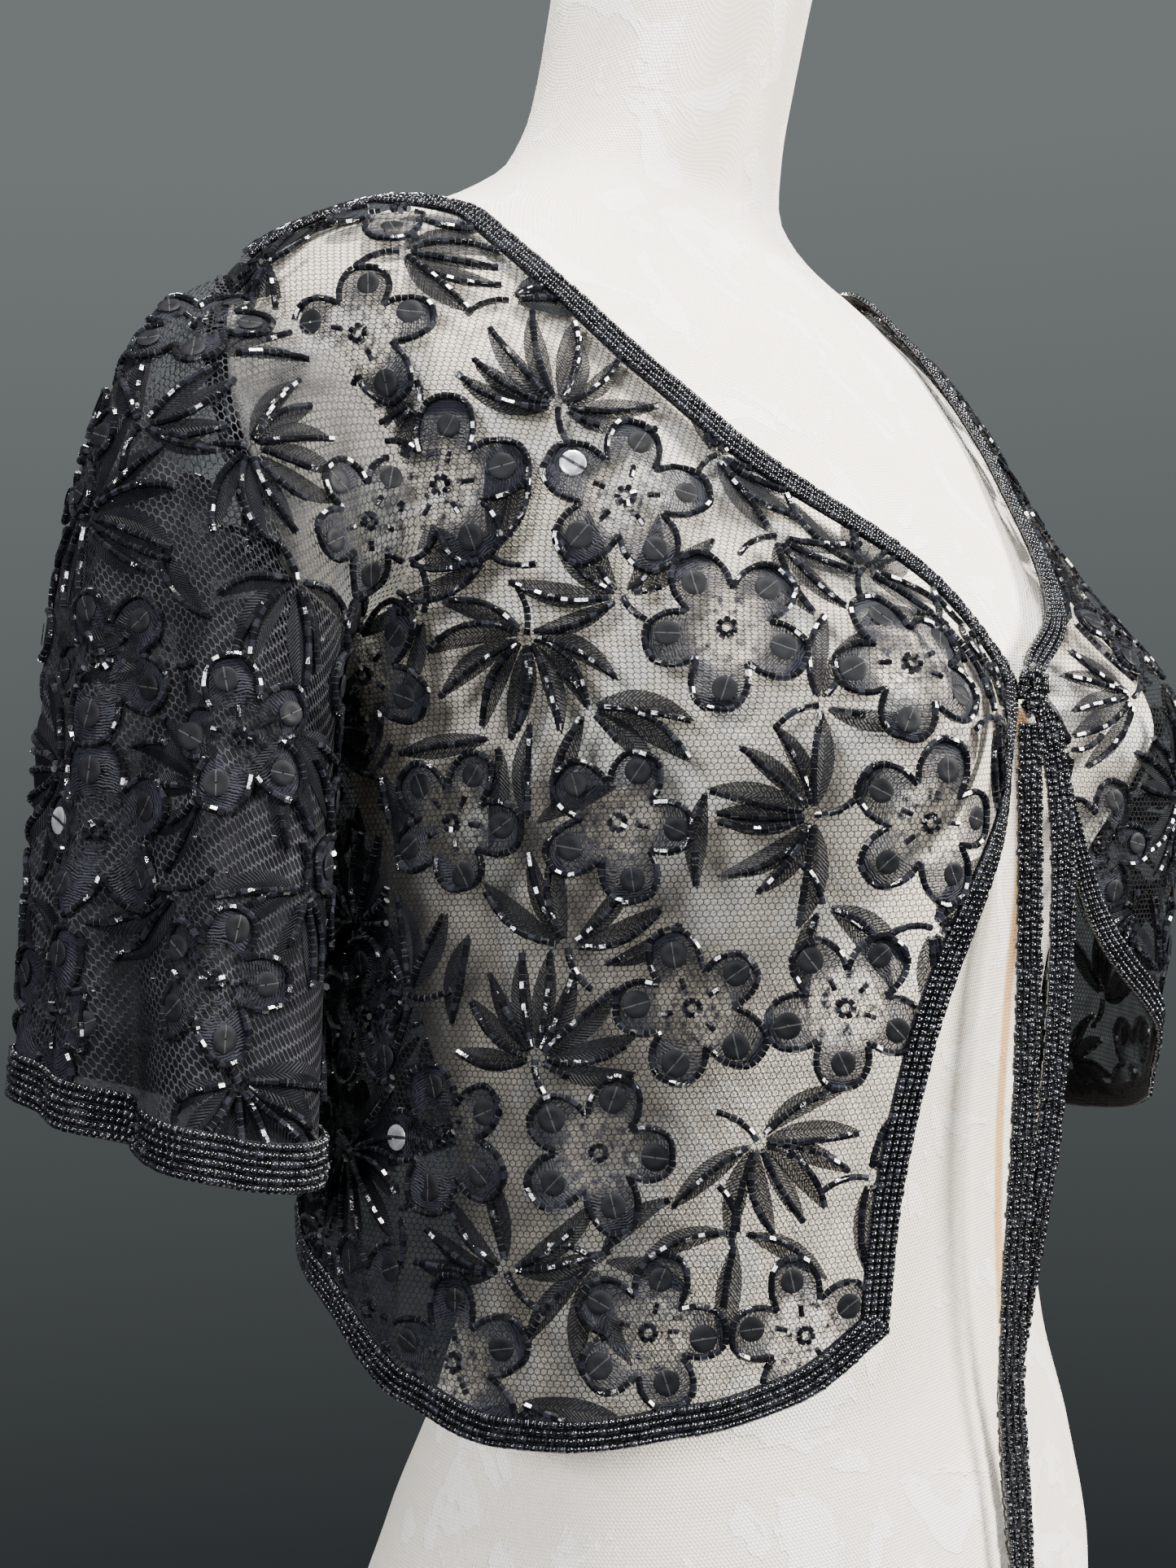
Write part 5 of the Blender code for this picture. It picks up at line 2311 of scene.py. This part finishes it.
@dataclass(frozen=True)
class GlassFinish:
    """Black cut glass whose cut ends carry a painted glint, and a few greyer beads that are painted
    glints too.

    A bead's place in the map is a random number and the share along it.
    """

    dark: Colour = (0.003, 0.003, 0.004)
    # Painted glints: the greyer beads and the pale cut ends stand in for facets that catch the
    # light
    grey: Colour = (0.014, 0.015, 0.020)
    cut: Colour = (0.085, 0.088, 0.095)
    grey_power: float = 5.0
    glint_from: tuple[float, float] = (0.455, 0.475)
    glint_power: float = 2.5
    other: float = 7.3
    rough: tuple[float, float] = (0.04, 0.13)
    coat: float = 0.05
    bend: float = 1.43
    relief: float = 0.00003
    relief_scale: float = 900.0

    def build(self, effects: Effects) -> bpy.types.Material:
        """Makes the material.

        Args:
            effects: The shared groups.

        Returns:
            The material.
        """
        f = Finish("black_glass", self.dark, self.rough[0], effects)
        chance, along, _ = f.parts(f.uv)
        away = f.math("ABSOLUTE", f.math("SUBTRACT", along, 0.5))
        # Painted glint on the cut ends of some beads
        end = spread(f.tree, away, *self.glint_from)
        other = f.math("FRACT", f.math("MULTIPLY", chance, self.other))
        share = f.math("MULTIPLY", end, f.math("POWER", other, self.glint_power))
        body = f.blend(f.math("POWER", chance, self.grey_power), self.dark, self.grey)
        f.set("Base Color", f.blend(share, body, self.cut))
        f.set("Roughness", f.between(other, *self.rough))
        f.set("Coat Weight", self.coat)
        f.set("Coat Roughness", self.rough[0])
        f.set("IOR", self.bend)
        f.bump(f.wander(self.relief_scale), self.relief)
        return f.material


@dataclass(frozen=True)
class SequinFinish:
    """Thin sequins, each with one stitch across it."""

    name: str = "dark_sequin"
    dark: Colour = (0.0050, 0.0053, 0.0062)
    light: Colour = (0.0100, 0.0106, 0.0125)
    stitch: Colour = (0.030, 0.031, 0.034)
    stitch_half: float = 0.045
    rough: tuple[float, float] = (0.45, 0.62)
    metal: float = 0.0
    gloss: float = 0.07
    relief: float = 0.0002
    tone_and_sheen_scale: float = 150.0
    stitch_edge: float = 1.6

    def build(self, effects: Effects) -> bpy.types.Material:
        """Makes the material.

        Args:
            effects: The shared groups.

        Returns:
            The material.
        """
        f = Finish(self.name, self.dark, self.rough[0], effects)
        tone_and_sheen = f.wander(self.tone_and_sheen_scale)
        share = f.math("MULTIPLY", tone_and_sheen, vector(f.tree, "LENGTH", f.uv))
        side = f.math("ABSOLUTE", f.parts(f.uv)[1])
        edge = self.stitch_half * self.stitch_edge
        thread = spread(f.tree, side, self.stitch_half, edge, 1.0, 0.0)
        ground = f.blend(share, self.dark, self.light)
        f.set("Base Color", f.blend(thread, ground, self.stitch))
        f.set("Metallic", self.metal)
        f.set("Roughness", f.between(tone_and_sheen, *self.rough))
        f.set("Specular IOR Level", self.gloss)
        f.bump(thread, self.relief)
        return f.material


@dataclass(frozen=True)
class TapeFinish:
    """Dark thread that the bead rows are worked on."""

    dark: Colour = (0.006, 0.006, 0.008)
    light: Colour = (0.020, 0.021, 0.026)
    warp: float = 0.0011
    weft: float = 0.0013
    relief: float = 0.0003

    def build(self, effects: Effects) -> bpy.types.Material:
        """Makes the material.

        Args:
            effects: The shared groups.

        Returns:
            The material.
        """
        f = Finish("dark_tape", self.dark, 0.7, effects)
        along, across, _ = f.parts(f.uv)
        weave = f.math("MULTIPLY", f.rib(along, self.warp), f.rib(across, self.weft))
        f.set("Base Color", f.blend(weave, self.dark, self.light))
        f.bump(weave, self.relief)
        return f.material


@dataclass(frozen=True)
class CoverFinish:
    """Cream stretch lace over a padded form, with a tan line down the front: partly the tan of a
    seam edge, partly painted shade of the gap beside the tie.

    The lace's figures are where a noise is high, with a cord where it crosses their edge.
    The noise's values are its scale, detail, roughness and distortion.
    """

    ground: Colour = (0.800, 0.715, 0.580)
    thread: Colour = (0.945, 0.890, 0.790)
    figure: Colour = (0.970, 0.945, 0.880)
    cell: float = 0.0014
    thread_half: float = 0.26
    noise: tuple[float, ...] = (26.0, 4.0, 0.52, 1.4)
    figure_from: tuple[float, float] = (0.530, 0.575)
    figure_share: float = 0.8
    cord_at: float = 0.560
    cord_from: tuple[float, float] = (0.004, 0.014)
    cord_share: float = 0.9
    rough: tuple[float, float] = (0.8, 0.6)
    sheen: float = 0.1
    figure_rise: float = 1.2
    relief: float = 0.00038
    # The tan line's colour: a seam edge's tan, partly painted shade of the gap beside the tie
    line: Colour = (0.600, 0.330, 0.120)
    line_half: float = 0.0042
    line_edge: tuple[float, float] = (0.6, 1.3)
    line_top: float = 0.437
    line_front: float = -0.02
    line_curve: tuple[float, ...] = (-0.470, 0.2632, -0.01485)

    def lace(self, f: Finish) -> Socket:
        """How much of the lace's figures shows.

        Args:
            f: The material.

        Returns:
            The share, from 0 to 1.
        """
        names = ("Scale", "Detail", "Roughness", "Distortion")
        feeds = {"Vector": f.place, **dict(zip(names, self.noise))}
        noise = f.add("ShaderNodeTexNoise", feeds).outputs[0]
        blob = spread(f.tree, noise, *self.figure_from, 0.0, self.figure_share, smooth=True)
        away = f.math("ABSOLUTE", f.math("SUBTRACT", noise, self.cord_at))
        cord = spread(f.tree, away, *self.cord_from, self.cord_share, 0.0, smooth=True)
        return f.math("MAXIMUM", cord, blob)

    def tan_seam_shade(self, f: Finish) -> Socket:
        """Where the tan line of partly painted shade shows: its x is a curve of z, on the front and
        below its top.

        Args:
            f: The material.

        Returns:
            One on the line, and zero off it.
        """
        x, y, z = f.parts(f.place)
        course: Socket | float = self.line_curve[0]
        for term in self.line_curve[1:]:
            course = f.math("MULTIPLY_ADD", course, z, term)
        side = f.math("ABSOLUTE", f.math("SUBTRACT", x, course))
        inner, outer = (self.line_half * share for share in self.line_edge)
        near = spread(f.tree, side, inner, outer, 1.0, 0.0)
        front = f.math("LESS_THAN", y, self.line_front)
        below = f.math("LESS_THAN", z, self.line_top)
        return f.math("MULTIPLY", near, f.math("MULTIPLY", front, below))

    def build(self, effects: Effects) -> bpy.types.Material:
        """Makes the material.

        Args:
            effects: The shared groups.

        Returns:
            The material.
        """
        f = Finish("cream_stretch_lace", self.thread, 0.7, effects)
        net = f.net(self.cell, self.thread_half)[0]
        figure = self.lace(f)
        cloth = f.blend(figure, f.blend(net, self.ground, self.thread), self.figure)
        f.set("Base Color", f.blend(self.tan_seam_shade(f), cloth, self.line))
        f.set("Roughness", f.between(figure, *self.rough))
        f.set("Sheen Weight", self.sheen)
        f.bump(f.math("MULTIPLY_ADD", figure, self.figure_rise, net), self.relief)
        return f.material


class Finishes:
    """Every material of the object."""

    def __init__(self) -> None:
        """Builds the shared groups, then the materials."""
        effects = Effects()
        self.net = NetFinish().build(effects)
        # The back's net: painted shade in all its holes, for the dark hollow inside the shrug
        self.shaded_net = NetFinish(
            "shaded_black_net", thread=0.12, middle_shade_alpha=0.62, side_shade_alpha=0.70
        ).build(effects)
        # The sleeves' net: painted shade in its holes farther out and lower down, and a pale thread
        # colour that is painted sheen
        self.sleeve_net = NetFinish(
            "sleeve_black_net", cell=0.0027, thread=0.17, middle_shade_alpha=0.03, side_shade_alpha=0.74,
            side_low=0.252, side_high=0.275, depth_share=0.9, drop_share=0.5, shoulder=0.52,
            patchy=0.20, light=(0.050, 0.051, 0.060),
        ).build(effects)
        self.petal = PetalFinish().build(effects)
        self.leaf = LeafFinish().build(effects)
        self.glass = GlassFinish().build(effects)
        self.sequin = SequinFinish().build(effects)
        # A lit copy of the sequin finish: its pale colours are a painted highlight for sequins that
        # catch the light
        self.bright_sequin = SequinFinish(
            "bright_sequin", (0.20, 0.21, 0.22), (0.62, 0.64, 0.66), (0.03, 0.03, 0.035), 0.09,
            (0.2, 0.4), 0.6, 0.4,
        ).build(effects)
        self.tape = TapeFinish().build(effects)
        self.cover = CoverFinish().build(effects)
        self.floor = Finish("pale_floor", (0.62, 0.62, 0.60), 0.85, effects).material


# Camera, floor and lights


@dataclass(frozen=True)
class Lamp:
    """A soft area light: its place, size, power, colour, and where it points."""

    name: str
    at: tuple[float, float, float]
    size: float
    power: float
    colour: Colour = (1.0, 1.0, 1.0)
    to: tuple[float, float, float] = (0.0, 0.0, 0.40)

    def build(self) -> None:
        """Makes the light."""
        data = bpy.data.lights.new(self.name, "AREA")
        data.shape = "DISK"
        data.size = self.size
        data.energy = self.power
        data.color = self.colour
        lamp = bpy.data.objects.new(self.name, data)
        bpy.context.scene.collection.objects.link(lamp)
        lamp.location = self.at
        aim = Vector(self.to) - Vector(self.at)
        lamp.rotation_euler = aim.to_track_quat("-Z", "Y").to_euler()


@dataclass(frozen=True)
class Studio:
    """The camera, the pale floor, the backdrop's tone and the lights.

    The camera's angles are in degrees, its sensor in millimetres, and its focal
    length and turn to the side in pixels of a picture that wide.
    """

    heading: float = 55.0
    distance: float = 0.80
    height: float = 0.41
    focal_px: float = 2480.0
    picture_px: float = 1927.0
    sensor: float = 36.0
    yaw_px: float = 150.0
    pitch: float = 0.5
    roll: float = 2.5
    floor_radius: float = 0.235
    floor_rings: tuple[float, ...] = (0.02, 0.5, 1.0)
    floor_sides: int = 96
    floor_level: float = -0.0006
    low_tone: Colour = (0.028, 0.032, 0.034)
    high_tone: Colour = (0.166, 0.187, 0.184)
    tone_span: tuple[float, float] = (-0.35, 0.30)
    lamps: tuple[Lamp, ...] = (
        Lamp("key", (0.70, -1.75, 1.15), 0.75, 190.0, (1.0, 0.975, 0.93)),
        Lamp("top", (-0.35, -0.45, 1.95), 0.40, 92.0, (1.0, 0.98, 0.94)),
        Lamp("fill", (-1.75, -0.60, 0.85), 0.50, 48.0, (0.95, 0.97, 1.0)),
        Lamp("spark_high", (-1.30, -0.90, 1.70), 0.06, 6.0),
        Lamp("spark_low", (-0.90, -1.50, 0.50), 0.05, 5.0),
        Lamp("spark_side", (-1.70, 0.50, 1.10), 0.06, 7.0),
        Lamp("back", (1.20, 1.50, 1.40), 0.60, 26.0),
    )

    def camera(self) -> None:
        """Places the camera."""
        turn = math.radians(self.heading)
        ahead = Vector((math.sin(turn), math.cos(turn), 0.0))
        right = Vector((math.cos(turn), -math.sin(turn), 0.0))
        place = -self.distance * ahead + Vector((0.0, 0.0, self.height))
        yaw = math.atan2(self.yaw_px, self.focal_px)
        ahead, right = (
            ahead * math.cos(yaw) - right * math.sin(yaw),
            right * math.cos(yaw) + ahead * math.sin(yaw),
        )
        pitch = math.radians(self.pitch)
        ahead = ahead * math.cos(pitch) + Vector((0.0, 0.0, 1.0)) * math.sin(pitch)
        up = right.cross(ahead)
        roll = math.radians(self.roll)
        right, up = (
            right * math.cos(roll) - up * math.sin(roll),
            up * math.cos(roll) + right * math.sin(roll),
        )
        data = bpy.data.cameras.new("camera")
        data.sensor_width = self.sensor
        data.lens = self.focal_px * self.sensor / self.picture_px
        data.clip_start = 0.01
        camera = bpy.data.objects.new("camera", data)
        bpy.context.scene.collection.objects.link(camera)
        turned = Matrix((right, up, -ahead)).transposed().to_4x4()
        camera.matrix_world = Matrix.Translation(place) @ turned
        bpy.context.scene.camera = camera

    def floor(self, finishes: Finishes) -> None:
        """Makes the pale floor.

        Args:
            finishes: The materials.
        """
        turn = np.arange(self.floor_sides) * 2 * math.pi / self.floor_sides
        ring = np.stack([np.cos(turn), np.sin(turn), 0 * turn], axis=-1)
        shares = np.array(self.floor_rings)[:, None, None]
        points = (ring[None] * shares * self.floor_radius).reshape(-1, 3)
        points[:, 2] = self.floor_level
        faces = grid_faces(len(self.floor_rings), self.floor_sides, wrap=True)
        piece = mesh_piece("floor", points, faces)
        piece.data.materials.append(finishes.floor)

    def backdrop(self) -> None:
        """Sets the world's tone, darker below."""
        world = bpy.data.worlds.new("studio")
        world.use_nodes = True
        bpy.context.scene.world = world
        tree = world.node_tree
        place = add_node(tree, "ShaderNodeTexCoord").outputs["Generated"]
        parts = add_node(tree, "ShaderNodeSeparateXYZ", {0: place})
        low, high = self.tone_span
        feeds = {0: parts.outputs[2], 1: low, 2: high}
        share = add_node(tree, "ShaderNodeMapRange", feeds).outputs[0]
        mix = add_node(
            tree, "ShaderNodeMix",
            {0: share, 6: (*self.low_tone, 1.0), 7: (*self.high_tone, 1.0)}, data_type="RGBA",
        )
        ground = tree.nodes["Background"]
        tree.links.new(mix.outputs[2], ground.inputs["Color"])
        ground.inputs["Strength"].default_value = 1.0

    def build(self, finishes: Finishes) -> None:
        """Sets up the studio.

        Args:
            finishes: The materials.
        """
        self.camera()
        self.floor(finishes)
        self.backdrop()
        for lamp in self.lamps:
            lamp.build()


# Room that a band's beads keep from another band, and from the armhole's seam
BAND_ROOM = 0.0106
SEAM_ROOM = 0.012
CORNER_ROOM = 0.006


def dress_front(
    side: Side, body: BodyCloth, finishes: Finishes, rng: np.random.Generator
) -> None:
    """Builds a front with its lace and bands.

    Args:
        side: The wearer's side.
        body: The cloth round the body.
        finishes: The materials.
        rng: Source of the small differences.
    """
    panel, edges = front_panel(side, body)
    lines = {name: panel.line(pairs) for name, pairs in edges.items()}
    patch = Patch(
        body, panel.loop, [lines["front"], lines["hem"], lines["shoulder"]], [lines["armhole"]]
    )
    net = finish_piece(panel.net(), finishes.net, (f"front_{side.word}",))
    if side is Side.RIGHT:
        turn = np.array([math.pi / 180.0, 1.0])
        flowers = np.array(RIGHT_FRONT_FLOWERS) * turn
        sprays = np.array(RIGHT_FRONT_SPRAYS) * turn
        flowers, sprays = scattered(
            patch, *FRONT_SPAN[side], rng, flowers, sprays, apart=0.060, clear=0.0265,
            sprays_apart=0.0275,
        )
    else:
        flowers, sprays = scattered(patch, *FRONT_SPAN[side], rng)
    work = LaceWork(f"front_{side.word}", patch, flowers, sprays, rng)
    extras = work.build(finishes)
    off_corner = nearest(lines["front"], lines["hem"]) > CORNER_ROOM
    for edge, stops in (
        ("front", []),
        ("hem", [(lines["front"][off_corner], BAND_ROOM)]),
        ("shoulder", [(lines["front"], BAND_ROOM), (lines["armhole"], SEAM_ROOM)]),
    ):
        name = f"{edge}_band_{side.word}"
        extras += EdgeBand(name, patch, edges[edge], (name,), stops=stops).build(finishes, rng)


def dress_back(body: BodyCloth, finishes: Finishes, rng: np.random.Generator) -> None:
    """Builds the back with its lace and bands.

    Args:
        body: The cloth round the body.
        finishes: The materials.
        rng: Source of the small differences.
    """
    panel, edges = back_panel(body)
    lines = {name: panel.line(pairs) for name, pairs in edges.items()}
    sewn = [lines[name] for name in ("left", "right", "seam_left", "seam_right")]
    patch = Patch(body, panel.loop, [lines["hem"], lines["neck"]], sewn)
    net = finish_piece(panel.net(), finishes.shaded_net, ("back_panel",))
    flowers, sprays = scattered(patch, *BACK_SPAN, rng)
    work = LaceWork("back", patch, flowers, sprays, rng)
    extras = work.build(finishes)
    for edge, name in (("hem", "hem_band_back"), ("neck", "back_neck_band")):
        extras += EdgeBand(name, patch, edges[edge], (name,)).build(finishes, rng)


def dress_sleeve(
    side: Side, body: BodyCloth, finishes: Finishes, rng: np.random.Generator
) -> None:
    """Builds a sleeve with its lace and hem band.

    Args:
        side: The wearer's side.
        body: The cloth that it is sewn to.
        finishes: The materials.
        rng: Source of the small differences.
    """
    sleeve = Sleeve(side, body, *SLEEVE_CUT[side])
    net = finish_piece(sleeve.net(), finishes.sleeve_net, (f"sleeve_{side.word}",))
    if side is Side.RIGHT:
        flowers, sprays = (
            spaced(places, sleeve.cloth.bare(places[:, 0], places[:, 1]), [], apart)[0]
            for places, apart in (
                (sleeve_places(RIGHT_SLEEVE_FLOWERS), 0.044),
                (sleeve_places(RIGHT_SLEEVE_SPRAYS), 0.026),
            )
        )
    else:
        flowers, sprays = None, None
    flowers, sprays = scattered(
        sleeve.patch, *SLEEVE_SPAN[side], rng, flowers, sprays, apart=0.050
    )
    work = LaceWork(f"sleeve_{side.word}", sleeve.patch, flowers, sprays, rng)
    extras = work.build(finishes)
    name = f"sleeve_band_{side.word}"
    band = EdgeBand(name, sleeve.patch, sleeve.hem, (name,), 6, width=0.015, closed=True)
    extras += band.build(finishes, rng)


def main() -> None:
    """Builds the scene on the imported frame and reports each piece."""
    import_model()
    rng = np.random.default_rng(SEED)
    finishes = Finishes()
    Studio().build(finishes)
    DressForm().build(finishes)
    body = BodyCloth()
    for side in Side:
        dress_front(side, body, finishes, rng)
    dress_back(body, finishes, rng)
    for side in Side:
        dress_sleeve(side, body, finishes, rng)
    Closure().build(finishes, rng)
    for shape in TIES:
        Tie(shape).build(finishes, rng)
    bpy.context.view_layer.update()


if __name__ == "__main__":
    logging.basicConfig(level=logging.INFO)
    main()
